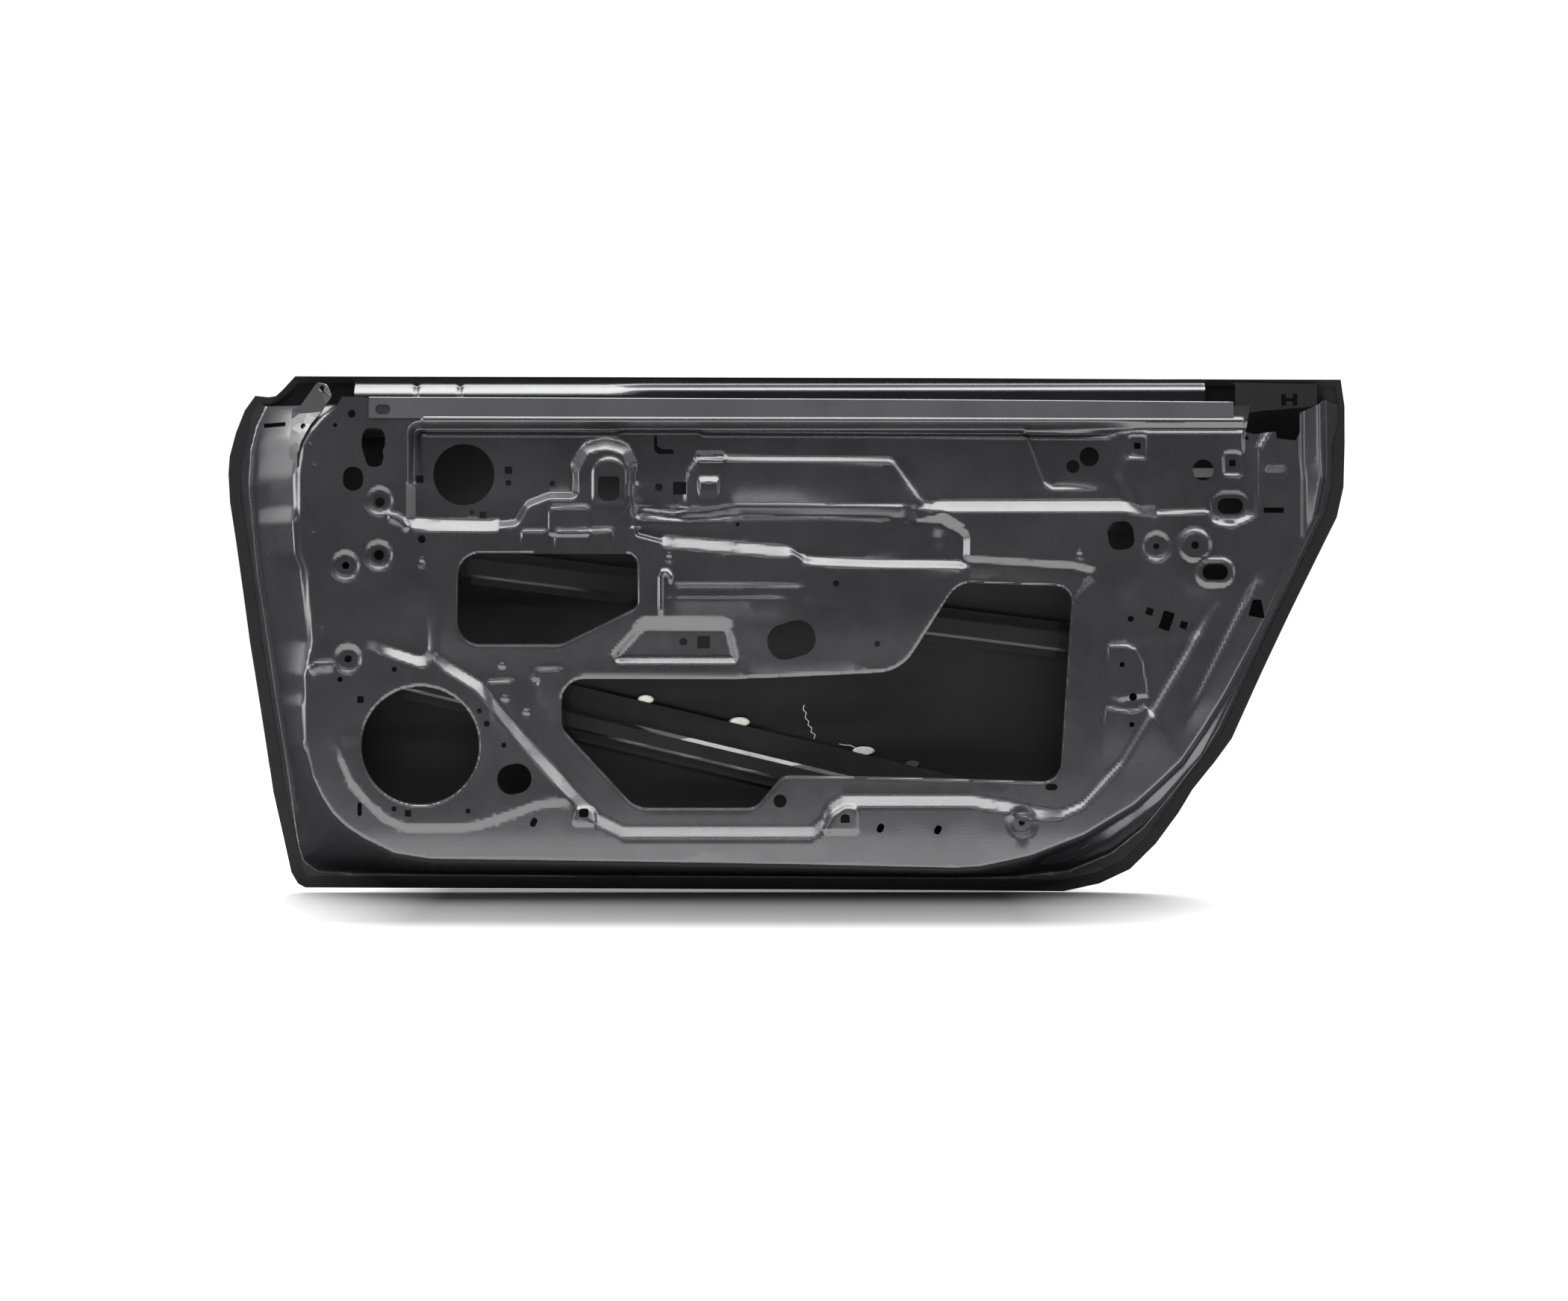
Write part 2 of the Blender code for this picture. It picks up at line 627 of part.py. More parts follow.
def build_skin():
    fold = spaced(OUTLINE, 28.0)
    lip_width = [HEM_LIP_TOP if z > TOP_EDGE_Z else HEM_LIP for _, z in fold]
    grid = []
    for i in range(-11, 12):
        for j in range(-9, 11):
            x = 58.0 * i
            z = 29.0 * j
            clear = min(math.dist((x, z), p) for p in fold) > 16.0
            dish = abs(x - HANDLE[0]) < 112 and abs(z - HANDLE[1]) < 50
            lock = math.dist((x, z), LOCK_HOLE[:2]) < 18
            if contains(fold, x, z) and clear and not dish and not lock:
                grid.append((x, z, skin_rise(x, z)))
    brim = stadium(HANDLE[0], HANDLE[1], HANDLE_DISH[0], HANDLE_DISH[1], 0, 6)
    floor = stadium(HANDLE[0], HANDLE[1], HANDLE_FLOOR[0], HANDLE_FLOOR[1], 0, 6)
    slots = [stadium(HANDLE[0] + offset, HANDLE[1], w, h) for offset, w, h in HANDLE_SLOTS]
    lock = circle(*LOCK_HOLE, 16)
    bm = pressed_mesh(lifted(fold, skin_rise),
                      [lifted(slot, dish_rise) for slot in slots] + [lifted(lock, skin_rise)],
                      [lifted(brim, skin_rise), lifted(floor, dish_rise)], [], grid)
    bm.verts.ensure_lookup_table()
    turned_edge = []
    inner_edge = []
    inner_plan = inset(fold, lip_width)
    for (x, z), (ix, iz) in zip(fold, inner_plan):
        top = min(bm.verts, key=lambda v: (v.co - Vector((x, skin_y(x, z), z))).length)
        turned_edge.append((top, bm.verts.new((x, -lip_rise(x, z), z))))
        inner_edge.append(bm.verts.new((ix, -lip_rise(ix, iz), iz)))
    count = len(fold)
    for i in range(count):
        j = (i + 1) % count
        bm.faces.new((turned_edge[i][0], turned_edge[j][0], turned_edge[j][1], turned_edge[i][1]))
        bm.faces.new((turned_edge[i][1], turned_edge[j][1], inner_edge[j], inner_edge[i]))
    bmesh.ops.recalc_face_normals(bm, faces=bm.faces)
    return thicken(add_object("outer_skin", bm), SKIN_T)


def swage_rise(x, z):
    """Floor of the swage: deep in front of the ramp, shallow behind it."""
    low, high = SWAGE_RAMP_IN[0][0], SWAGE_RAMP_OUT[0][0]
    share = min(max((x - low) / (high - low), 0.0), 1.0)
    return SWAGE + (FACE - RAMP_STEP - SWAGE) * share


def ledge_rise(x, z):
    """Inner face round the main opening: sinks to the ledge level towards the foot of the opening."""
    share = min(max((LEDGE_TOP_Z - z) / LEDGE_RUN, 0.0), 1.0)
    return FACE - LEDGE_DEPTH * share


def bead(path):
    """Rounded groove along a path: its closed edge at face level and its bottom line."""
    left = []
    right = []
    count = len(path)
    for i in range(count):
        a = Vector(path[max(i - 1, 0)])
        b = Vector(path[min(i + 1, count - 1)])
        side = (b - a).normalized().orthogonal() * BEAD_HALF
        here = Vector(path[i])
        left.append(tuple(here + side))
        right.append(tuple(here - side))
    edge = lifted(left + right[::-1], FACE)
    return edge, lifted(path[1:-1], FACE - BEAD_DEPTH)


def build_inner_panel():
    fold = spaced(OUTLINE, 28.0)
    flange = inset(fold, EDGE_PLAY)
    first = min(range(len(flange)), key=lambda i: math.dist(flange[i], (-614, 295)))
    last = min(range(len(flange)), key=lambda i: math.dist(flange[i], (650, 284)))
    run = flange[last:first + 1]
    crease = with_rows(spaced(CREASE, 30.0, False), WALL_ROWS + LATCH_ROWS)
    edge = with_rows(spaced(FACE_EDGE, 30.0, False), WALL_ROWS)
    step_in = lifted(beside([p for p in edge if p[0] > 395][1:], -STEP_WALL), STEP_INNER_RISE)[::-1]
    step_out = lifted(with_rows(spaced(STEP_OUTER, 40.0, False), LATCH_ROWS), STEP_OUTER_RISE)
    outline = lifted(run, flange_rise)
    outline += [(crease[0][0], crease[0][1], flange_rise(*crease[0]))]
    outline += [(edge[0][0], edge[0][1], FACE)]
    outline += lifted(spaced(BELT_EDGE[::-1], 90.0, False), FACE)
    outline += [(edge[-1][0], edge[-1][1], FACE)]
    outline += [step_in[0], step_out[0]]
    outline += [(crease[-1][0], crease[-1][1], flange_rise(*crease[-1]))]

    cuts = [lifted(filleted(OPENING_FRONT), FACE), lifted(spaced(filleted(OPENING_MAIN), 60.0), ledge_rise),
            lifted(circle(*SPEAKER, 32), FACE), lifted(circle(*LEDGE_HOLE[0]), FACE - LEDGE_DEPTH),
            lifted([p[:2] for p in TRAPEZOID_HOLE], FACE)]
    cuts += [lifted(circle(x, z, r, 8), FACE) for x, z, r in FACE_HOLES]
    cuts += [lifted(circle(x, z, r, 24 if r > 20 else 8), swage_rise) for x, z, r in FLOOR_HOLES]
    cuts += [lifted(stadium(*o), FACE) for o in FACE_OVALS]
    cuts += [lifted(square(*s), FACE) for s in FACE_SQUARES]
    cuts += [lifted(square(*s), swage_rise) for s in FLOOR_SQUARES]
    cuts += [lifted(stadium(*FLOOR_OVAL[0]), swage_rise)]
    cuts += [lifted(stadium(*SEAT_OVAL[0], SEAT_OVAL_TURN, 5), FACE)]
    cuts += [lifted(circle(*TRAPEZOID_ROUND[0], 8), POCKET), lifted(square(*TRAPEZOID_SQUARE[0]), POCKET)]

    forms = [lifted(filleted(SWAGE_EDGE), FACE), lifted(filleted(SWAGE_FLOOR), swage_rise),
             lifted(filleted(CHANNEL_EDGE), FACE), lifted(filleted(CHANNEL_FLOOR), POCKET),
             lifted(filleted(TRAPEZOID_EDGE), FACE), lifted(filleted(TRAPEZOID_FLOOR), POCKET),
             lifted(filleted(TAPER_EDGE), FACE), lifted(filleted(TAPER_FLOOR), POCKET)]
    for seats, level in ((DISH_SEATS, FACE - SEAT_DEPTH), (BOSS_SEATS, FACE + SEAT_DEPTH)):
        for x, z, r, hole in seats:
            forms.append(lifted(circle(x, z, r, 16), FACE))
            forms.append(lifted(circle(x, z, r - SEAT_WALL, 16), level))
            cuts.append(lifted(circle(x, z, hole, 10), level))
    folds = [lifted(crease, flange_rise), lifted(edge, FACE), step_in, step_out,
             lifted(SWAGE_RAMP_IN, swage_rise), lifted(SWAGE_RAMP_OUT, swage_rise),
             lifted(LEDGE_HIGH, FACE - LEDGE_DEPTH), lifted(LEDGE_LOW, FACE)]
    pad_spans = ((UPPER_PAD_TOP + PAD_BRIM, UPPER_PAD_LOW - PAD_BRIM),
                 (LOWER_PAD_TOP + PAD_BRIM, LOWER_PAD_LOW - PAD_BRIM))
    for z in WALL_ROWS:
        if all(not low < z < top for top, low in pad_spans):
            low_end = (along(FRONT_CREASE, z), z)
            high_end = (along(FRONT_EDGE, z), z)
            folds.append([(*low_end, flange_rise(*low_end)), (*high_end, FACE)])
    for z in LATCH_ROWS:
        low_end = (along(REAR_CREASE, z), z)
        folds.append([(*low_end, flange_rise(*low_end)), (along(STEP_OUTER, z), z, STEP_OUTER_RISE)])
    for path in (REAR_BEAD, RIM_BEAD):
        brim, bottom = bead(path)
        forms.append(brim)
        folds.append(bottom)
    pads = []
    for top, low in ((UPPER_PAD_TOP, UPPER_PAD_LOW), (LOWER_PAD_TOP, LOWER_PAD_LOW)):
        loops, centre, normal = pad_forms(top, low)
        forms += loops
        pads.append((centre, normal))
    return press("inner_panel", PANEL_T, outline, cuts, forms, folds), pads


def build_belt_strip():
    flat = [p[:2] for p in BELT_STRIP]
    top = flat[:3]
    outline = lifted([(x, z + STRIP_LEAN) for x, z in top], STRIP_RISE - STRIP_FLANGE)
    outline += lifted(flat[3:], STRIP_RISE)
    bend = lifted(top, STRIP_RISE)
    outline = outline[:3] + [bend[2]] + outline[3:] + [bend[0]]
    hole = lifted(stadium(*BELT_STRIP_HOLE[0]), STRIP_RISE)
    return press("inner_belt_reinforcement", PANEL_T, outline, [hole], [], [bend])


def build_outer_belt():
    rows = []
    x0, x1 = OUTER_BELT_ENDS[0][0], OUTER_BELT_ENDS[1][0]
    for k in range(13):
        x = x0 + (x1 - x0) * k / 12
        top = along([(z, x) for x, z in OUTLINE[:5]], x) - 1.6
        rows.append([(x, -(flange_rise(x, top - drop) + off), top - drop)
                     for drop, off in OUTER_BELT_PROFILE])
    return strip("outer_belt_reinforcement", PANEL_T, rows)


def beam_frame(ends):
    a = Vector(ends[0])
    b = Vector(ends[1])
    direction = (b - a).normalized()
    return a, b, direction, Vector((-direction.y, direction.x))


def build_beam(name, ends, section):
    a, b, direction, across = beam_frame(ends)
    rows = []
    for k in range(15):
        mid = a.lerp(b, k / 14)
        row = []
        for offset, stand in section:
            p = mid + across * offset
            row.append((p.x, skin_y(mid.x, p.y) - stand, p.y))
        rows.append(row)
    return strip(name, BEAM_T, rows)


def build_beam_bracket(name, ends, section, front, share_top, upper_line, upper_rise, fit):
    """Bent plate that laps the beam's crown and turns up along the inside of the wall."""
    a, b, direction, across = beam_frame(ends)
    tip = a if front else b
    outward = -direction if front else direction
    crown = [s for s in section if s[1] > SKIN_CLEAR]
    below = PANEL_T / 2 + fit + BRACKET_T / 2
    lap = BEAM_T / 2 + FIT + BRACKET_T / 2
    rows = []
    for offset in (crown[0][0] - 1.0, crown[1][0] + 1.0):
        start = tip - outward * 62.0 + across * offset
        foot = meeting(CREASE, start, outward)
        head = meeting(upper_line, start, outward)
        foot_at = start + outward * foot
        foot_rise = flange_rise(foot_at.x, foot_at.y)
        run = foot - head
        climb = upper_rise - foot_rise
        size = math.hypot(run, climb)
        row = []
        for reach in (0.0, 34.0, 60.0):
            mid = tip - outward * (62.0 - reach)
            p = start + outward * reach
            row.append((p.x, skin_y(mid.x, p.y) - crown[0][1] - lap, p.y))
        first = (-row[-1][1] - foot_rise) / climb
        for share in (first + 1.5 / climb, share_top):
            p = start + outward * (foot - run * share - below * climb / size)
            row.append((p.x, -(foot_rise + climb * share - below * run / size), p.y))
        rows.append(row)
    return strip(name, BRACKET_T, rows)


def build_wall_plate(name, thickness, z_top, z_low, share_low, share_high, front=True):
    """Plate lying against the inside of the hinge wall or of the latch wall."""
    below = -(PANEL_T / 2 + WALL_FIT + thickness / 2)
    ruled = WALL_ROWS if front else LATCH_ROWS
    heights = [z_top] + [z for z in ruled if z_low + 2 < z < z_top - 2] + [z_low]
    rows = [[wall_point(z, share, below, front) for share in (share_low, share_high)] for z in heights]
    return strip(name, thickness, rows)


def mirror_rise(x, z):
    """Mirror bracket: rests on the hinge wall, its top corner leans back to the skin."""
    low = along(FRONT_CREASE, min(z, 270.0))
    high = along(FRONT_EDGE, min(z, 270.0))
    share = (x - low) / (high - low)
    base = flange_rise(low, min(z, 270.0))
    return base + (FACE - base) * min(share, 1.0) + MIRROR_LIFT + MIRROR_PLAY


def build_mirror_bracket():
    plan = filleted(MIRROR_PLATE, 2)
    outline = lifted(spaced(plan, 12.0), mirror_rise)
    spots = []
    for i in range(5):
        for z in WALL_ROWS[:8]:
            x = -556.0 + 10.0 * i
            holes = [h[:2] for h in (MIRROR_HOLE[0], MIRROR_LOWER_HOLE[0])]
            if contains(plan, x, z) and min(math.dist((x, z), p) for p in plan + holes) > 6.0:
                spots.append((x, z, mirror_rise(x, z)))
    cuts = [lifted(circle(*h, 8), mirror_rise) for h in (MIRROR_HOLE[0], MIRROR_LOWER_HOLE[0])]
    return press("mirror_bracket", BRACKET_T, outline, cuts, [], [], spots)


def build_rear_bracket():
    plan = filleted(REAR_PLATE, 2)
    top = [plan[0], plan[1]]
    back = [(px, pz + REAR_FLANGE_LEAN, REAR_FLANGE_RISE) for px, pz in top]
    outline = back + lifted(plan[1:] + plan[:1], REAR_PLATE_RISE)
    x, z, width, height = REAR_SLOT[0]
    arm = width / 2 - width * SLOT_ARM
    web = height * SLOT_ARM / 2
    across = width / 2
    up = height / 2
    plan_slot = [(-across, -up), (-arm, -up), (-arm, -web), (arm, -web), (arm, -up), (across, -up),
                 (across, up), (arm, up), (arm, web), (-arm, web), (-arm, up), (-across, up)]
    slot = [(x + px, z + pz) for px, pz in plan_slot]
    return press("rear_corner_bracket", BRACKET_T, outline, [lifted(slot, REAR_PLATE_RISE)], [],
                 [lifted(top, REAR_PLATE_RISE)])


def build_drop(name, x, z, width, height):
    """Flattened bead of mastic squeezed between the lower beam's flange and the skin."""
    a, b, direction, across = beam_frame(LOWER_BEAM)
    bm = bmesh.new()
    rings = []
    low_gap = SKIN_CLEAR - BEAM_T / 2 - FIT
    high_gap = SKIN_T / 2 + FIT
    for share, size in ((0.0, 0.82), (0.5, 1.0), (1.0, 0.82)):
        ring = []
        for k in range(20):
            turn = math.tau * k / 20
            px = x + width / 2 * size * math.cos(turn)
            pz = z + height / 2 * size * math.sin(turn)
            gap = low_gap + (high_gap - low_gap) * share
            ring.append(bm.verts.new((px, skin_y(px, pz) - gap, pz)))
        rings.append(ring)
    for low, high in zip(rings, rings[1:]):
        for k in range(20):
            bm.faces.new((low[k], low[(k + 1) % 20], high[(k + 1) % 20], high[k]))
    bm.faces.new(rings[0][::-1])
    bm.faces.new(rings[-1])
    bmesh.ops.triangulate(bm, faces=[f for f in bm.faces if len(f.verts) > 4])
    bmesh.ops.recalc_face_normals(bm, faces=bm.faces)
    return add_object(name, bm, 0.35, 0.6)


def build_weld_nut(name, x, z, hole, level):
    """Square weld nut behind a screw seat."""
    bm = bmesh.new()
    back = FACE + level
    y0 = -(back - PANEL_T / 2 - FIT)
    y1 = y0 + NUT_HEIGHT
    outer = square(x, z, NUT_WIDTH, NUT_WIDTH)
    outer = spaced(outer, NUT_WIDTH / 4 + 0.01)
    inner = circle(x, z, hole * 0.8, len(outer))
    inner = turned(inner, x, z, 225.0)
    rows = []
    for loop, y in ((outer, y0), (outer, y1), (inner, y1), (inner, y0)):
        rows.append([bm.verts.new((p[0], y, p[1])) for p in loop])
    count = len(outer)
    for r in range(4):
        a, b = rows[r], rows[(r + 1) % 4]
        for k in range(count):
            bm.faces.new((a[k], a[(k + 1) % count], b[(k + 1) % count], b[k]))
    bmesh.ops.recalc_face_normals(bm, faces=bm.faces)
    return add_object(name, bm, 0.2, 0.35)


build_skin()
panel, pads = build_inner_panel()
build_belt_strip()
build_outer_belt()
build_mirror_bracket()
build_rear_bracket()
build_beam("upper_side_beam", UPPER_BEAM, UPPER_SECTION)
build_beam("lower_side_beam", LOWER_BEAM, LOWER_SECTION)
build_beam_bracket("upper_beam_hinge_bracket", UPPER_BEAM, UPPER_SECTION, True, 0.46, FACE_EDGE, FACE,
                   TAB_FIT["upper"])
build_beam_bracket("lower_beam_hinge_bracket", LOWER_BEAM, LOWER_SECTION, True, 0.46, FACE_EDGE, FACE,
                   TAB_FIT["lower"])
build_beam_bracket("upper_beam_latch_bracket", UPPER_BEAM, UPPER_SECTION, False, 0.8, STEP_OUTER, STEP_OUTER_RISE,
                   TAB_FIT["upper"])
build_beam_bracket("lower_beam_latch_bracket", LOWER_BEAM, LOWER_SECTION, False, 0.5, FACE_EDGE, FACE,
                   TAB_FIT["lower"])
build_wall_plate("upper_hinge_reinforcement", REINF_T, *UPPER_PLATE, *HINGE_PLATE_SHARES)
build_wall_plate("lower_hinge_reinforcement", REINF_T, *LOWER_PLATE, *HINGE_PLATE_SHARES)
build_wall_plate("check_strap_reinforcement", REINF_T, *STRAP_PLATE, *STRAP_PLATE_SHARES)
build_wall_plate("latch_reinforcement", REINF_T, *LATCH_PLATE, *LATCH_PLATE_SHARES, False)
for number, (x, z, width, height) in enumerate(MASTIC, 1):
    build_drop("mastic_drop_%d" % number, x, z, width, height)
for number, (x, z, r, hole) in enumerate(DISH_SEATS, 1):
    build_weld_nut("weld_nut_%d" % number, x, z, hole, -SEAT_DEPTH)

# The shared frame starts at the middle of the upper hinge pad
origin = pads[0][0] * MM
for ob in bpy.data.objects:
    ob.data.transform(Matrix.Translation(-origin))
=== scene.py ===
import math

import bpy
import numpy as np
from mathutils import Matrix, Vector
from mathutils.geometry import delaunay_2d_cdt


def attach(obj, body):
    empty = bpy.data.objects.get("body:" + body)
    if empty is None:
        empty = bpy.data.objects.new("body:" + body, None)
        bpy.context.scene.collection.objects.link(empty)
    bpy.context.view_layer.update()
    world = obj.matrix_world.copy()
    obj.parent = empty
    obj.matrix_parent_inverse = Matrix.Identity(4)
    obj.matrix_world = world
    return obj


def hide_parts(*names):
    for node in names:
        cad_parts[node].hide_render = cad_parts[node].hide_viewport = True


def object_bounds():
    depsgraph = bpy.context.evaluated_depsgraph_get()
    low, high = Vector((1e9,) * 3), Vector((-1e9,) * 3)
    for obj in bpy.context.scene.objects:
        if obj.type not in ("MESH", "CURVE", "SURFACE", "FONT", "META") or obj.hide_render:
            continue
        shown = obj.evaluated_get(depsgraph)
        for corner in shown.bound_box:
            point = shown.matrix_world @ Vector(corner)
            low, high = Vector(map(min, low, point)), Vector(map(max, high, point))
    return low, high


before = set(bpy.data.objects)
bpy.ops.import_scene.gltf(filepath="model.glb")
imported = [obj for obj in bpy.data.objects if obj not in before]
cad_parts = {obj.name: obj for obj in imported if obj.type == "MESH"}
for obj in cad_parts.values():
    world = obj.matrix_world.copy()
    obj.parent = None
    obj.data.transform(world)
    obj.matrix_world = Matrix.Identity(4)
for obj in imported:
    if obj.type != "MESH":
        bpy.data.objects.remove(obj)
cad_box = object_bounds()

# Camera: level, square to the door's face, 4.5 m in front of the hem and opposite the middle of the door.
# The frame's origin is the upper hinge pad, so the door's own middle lies this far from it, in millimetres.
DOOR_ORIGIN = (589.4678955, 51.7540894, -180.8468323)
CAMERA_AWAY = 4500.0
camera_data = bpy.data.cameras.new("camera")
camera_data.sensor_width = 36.0
camera_data.lens = 88.47
camera = bpy.data.objects.new("camera", camera_data)
camera.location = (DOOR_ORIGIN[0] / 1000, (DOOR_ORIGIN[1] - CAMERA_AWAY) / 1000, DOOR_ORIGIN[2] / 1000)
camera.rotation_euler = (math.pi / 2, 0.0, 0.0)
bpy.context.scene.collection.objects.link(camera)
bpy.context.scene.camera = camera
bpy.context.scene.view_settings.view_transform = "Standard"


# Floor of the studio, not part of the object: a white matt board, with a painted shadow in front of and
# under the door, dark grey in the board's colour. Its ends fade into the board, and it is painted darkest
# close to the door's foot.
def linear(code):
    """sRGB hex colour as linear red, green, blue and alpha."""
    parts = [int(code[i:i + 2], 16) / 255 for i in (1, 3, 5)]
    return tuple(p / 12.92 if p <= 0.04045 else ((p + 0.055) / 1.055) ** 2.4 for p in parts) + (1.0,)


def add_node(tree, kind, settings=(), links=()):
    """One shader node: settings are attributes or socket values, links go from an output to a socket."""
    node = tree.nodes.new(kind)
    for key, value in dict(settings).items():
        if isinstance(key, str) and hasattr(node, key):
            setattr(node, key, value)
        else:
            node.inputs[key].default_value = value
    for socket, source in dict(links).items():
        tree.links.new(source, node.inputs[socket])
    return node


FLOOR_Z = cad_box[0][2]
FLOOR_RADIUS = 5.0
# Places in metres where the board is bare, and where the painted shadow covers it fully.
PAINTED_SHADOW_FRONT = (-0.64, -0.42)
PAINTED_SHADOW_SIDES = (("Y", 0.24, 0.12), ("X", 0.0, 0.2), ("X", 1.08, 0.84))
floor_paint = bpy.data.materials.new("white_matt_board")
floor_paint.use_nodes = True
tree = floor_paint.node_tree
shader = tree.nodes["Principled BSDF"]
shader.inputs["Roughness"].default_value = 0.85
place = add_node(tree, "ShaderNodeTexCoord")
# Faint mottle of a hand-painted board, three patches to the metre, so that the white isn't dead.
mottle = add_node(tree, "ShaderNodeTexNoise", {"Scale": 3.0, "Detail": 4.0},
                  {"Vector": place.outputs["Object"]})
tint = add_node(tree, "ShaderNodeValToRGB", {}, {"Fac": mottle.outputs["Fac"]})
tint.color_ramp.elements[0].color = linear("#e9e9e9")
tint.color_ramp.elements[1].color = linear("#f0f0f0")
# The painted shadow: how far it covers the board, and the share of the board's colour that is left under it.
where = add_node(tree, "ShaderNodeSeparateXYZ", {}, {"Vector": place.outputs["Object"]})
shadow_reach = add_node(tree, "ShaderNodeMapRange", {"From Min": PAINTED_SHADOW_FRONT[0], "From Max": PAINTED_SHADOW_FRONT[1]},
                 {"Value": where.outputs["Y"]})
for axis, bare, covered in PAINTED_SHADOW_SIDES:
    side = add_node(tree, "ShaderNodeMapRange", {"From Min": bare, "From Max": covered},
                    {"Value": where.outputs[axis]})
    shadow_reach = add_node(tree, "ShaderNodeMath", {"operation": "MULTIPLY"},
                     {0: shadow_reach.outputs[0], 1: side.outputs[0]})
# Painted shadow, darkest close to the door's foot: the share of the board's colour left under it, from a
# third down to almost none.
grey = add_node(tree, "ShaderNodeMapRange", {"From Min": -0.2, "From Max": -0.06, "To Min": 0.34,
                "To Max": 0.04}, {"Value": where.outputs["Y"]})
darker = add_node(tree, "ShaderNodeMapRange", {"To Min": 1.0},
                  {"Value": shadow_reach.outputs[0], "To Max": grey.outputs[0]})
painted_shadow = add_node(tree, "ShaderNodeVectorMath", {"operation": "SCALE"},
                {"Vector": tint.outputs["Color"], "Scale": darker.outputs[0]})
tree.links.new(painted_shadow.outputs["Vector"], shader.inputs["Base Color"])
bpy.ops.mesh.primitive_circle_add(vertices=64, radius=FLOOR_RADIUS, fill_type="NGON",
                                  location=(0.59, 0.0, FLOOR_Z - 0.001))
floor = bpy.context.object
bpy.ops.object.transform_apply(location=True, rotation=False, scale=False)
floor.name = "floor"
floor.data.materials.append(floor_paint)
# The glossy primer would mirror the board as a white band, which the photograph doesn't show.
floor.visible_glossy = False


# Light: a wide softbox overhead, a strip in front, cards at both ends and a bounce from the floor, with
# ceiling panels and a window far behind. The softbox and the rear card light the door and not the floor.
def soft_light(name, power, size, place, aim):
    """Rectangular area light, in watts and metres, aimed at a place and unseen by the camera."""
    data = bpy.data.lights.new(name, "AREA")
    data.shape = "RECTANGLE"
    data.size, data.size_y = size
    data.energy = power
    lamp = bpy.data.objects.new(name, data)
    lamp.location = place
    lamp.rotation_euler = (Vector(aim) - Vector(place)).to_track_quat("-Z", "Y").to_euler()
    lamp.visible_camera = False
    bpy.context.scene.collection.objects.link(lamp)
    return lamp


softbox = soft_light("softbox_overhead", 600.0, (6.2, 2.0), (0.59, -0.45, 2.0), (0.59, -0.2, 0.0))
shade = bpy.data.collections.new("kept_off_the_floor")
shade.objects.link(floor)
shade.collection_objects[0].light_linking.link_state = "EXCLUDE"
softbox.light_linking.receiver_collection = shade
for name, power, wide, lean in (("ceiling_panels", 1.5, 110.0, -6.0), ("window_behind", 2.4, 50.0, -40.0)):
    sky_data = bpy.data.lights.new(name, "SUN")
    sky_data.energy = power
    sky_data.angle = math.radians(wide)
    sky = bpy.data.objects.new(name, sky_data)
    sky.rotation_euler = (math.radians(lean), 0.0, 0.0)
    bpy.context.scene.collection.objects.link(sky)
soft_light("floor_bounce", 26.0, (2.4, 0.6), (0.59, -0.37, FLOOR_Z + 0.01), (0.59, -0.37, 2.0))
soft_light("strip_in_front", 30.0, (2.6, 0.12), (0.59, -3.5, 1.45), (0.59, 0.0, -0.1))
rear_card = soft_light("card_behind_left", 16.0, (0.9, 0.9), (-1.6, 1.3, 1.5), (0.05, 0.05, 0.0))
rear_card.light_linking.receiver_collection = shade
soft_light("card_left", 46.0, (0.9, 1.0), (-2.1, -0.9, 0.1), (0.0, 0.0, 0.0))
soft_light("card_right", 15.0, (0.9, 1.0), (3.2, -0.9, 0.1), (1.2, 0.0, 0.0))

# The room itself: white where the camera sees it, and for the door dim in front and brighter high behind.
world = bpy.data.worlds.new("studio")
world.use_nodes = True
bpy.context.scene.world = world
tree = world.node_tree
room = tree.nodes["Background"]
seen = add_node(tree, "ShaderNodeLightPath")
aim = add_node(tree, "ShaderNodeTexCoord")
axes = add_node(tree, "ShaderNodeSeparateXYZ", {}, {"Vector": aim.outputs["Generated"]})
high = add_node(tree, "ShaderNodeMapRange", {"From Max": 0.16}, {"Value": axes.outputs["Z"]})
rearward = add_node(tree, "ShaderNodeMapRange", {"From Min": -0.1, "From Max": 0.4},
                    {"Value": axes.outputs["Y"]})
sweep = add_node(tree, "ShaderNodeMath", {"operation": "MULTIPLY"},
                 {0: high.outputs["Result"], 1: rearward.outputs["Result"]})
dim = add_node(tree, "ShaderNodeMapRange", {"To Min": 0.1, "To Max": 2.2},
               {"Value": sweep.outputs["Value"]})
level = add_node(tree, "ShaderNodeMix", {"B": 1.05},
                 {"Factor": seen.outputs["Is Camera Ray"], "A": dim.outputs["Result"]})
tree.links.new(level.outputs["Result"], room.inputs["Strength"])
room.inputs["Color"].default_value = (1.0, 1.0, 1.0, 1.0)


# Inner panel: one sheet of 1 mm deep-drawing steel, pressed, trimmed and pierced, then electrocoated black.
# Its form is drawn as a rise towards the cabin over the plan of the door, in mm, and the sheet follows it.
# Plan places are (x, z) from the door's middle, with x towards the latch end and z upwards.
PANEL_T = 1.0
FACE = 105.0
# Grid of the form, its widest and finest cells in grid steps, and the gap between points on an edge.
GRID = 0.8
WIDEST = 32
FINEST = 2
EDGE_GAP = 3.0
# Foot of the rim's wall, where it rises out of the hem flange.
CREASE = [
    (-602.5, 284), (-614, 260.5), (-621, 232), (-623.5, 191), (-620, 144.5), (-615.5, 91.5),
    (-608.5, 44.5), (-594.5, -51.5), (-584, -111.5), (-575.5, -170), (-567.5, -226),
    (-561.5, -244), (-545, -255.5), (-503, -258), (-427, -259), (-200.5, -260.5), (8.5, -261.5),
    (200.5, -262.5), (270.5, -261.5), (331.5, -255.5), (382, -234.5), (419.5, -205), (455, -162),
    (490, -116), (507.5, -88), (539, -18.5), (570, 48), (622.5, 161.5), (630.5, 201.5),
    (630.5, 236.5), (628, 292),
]
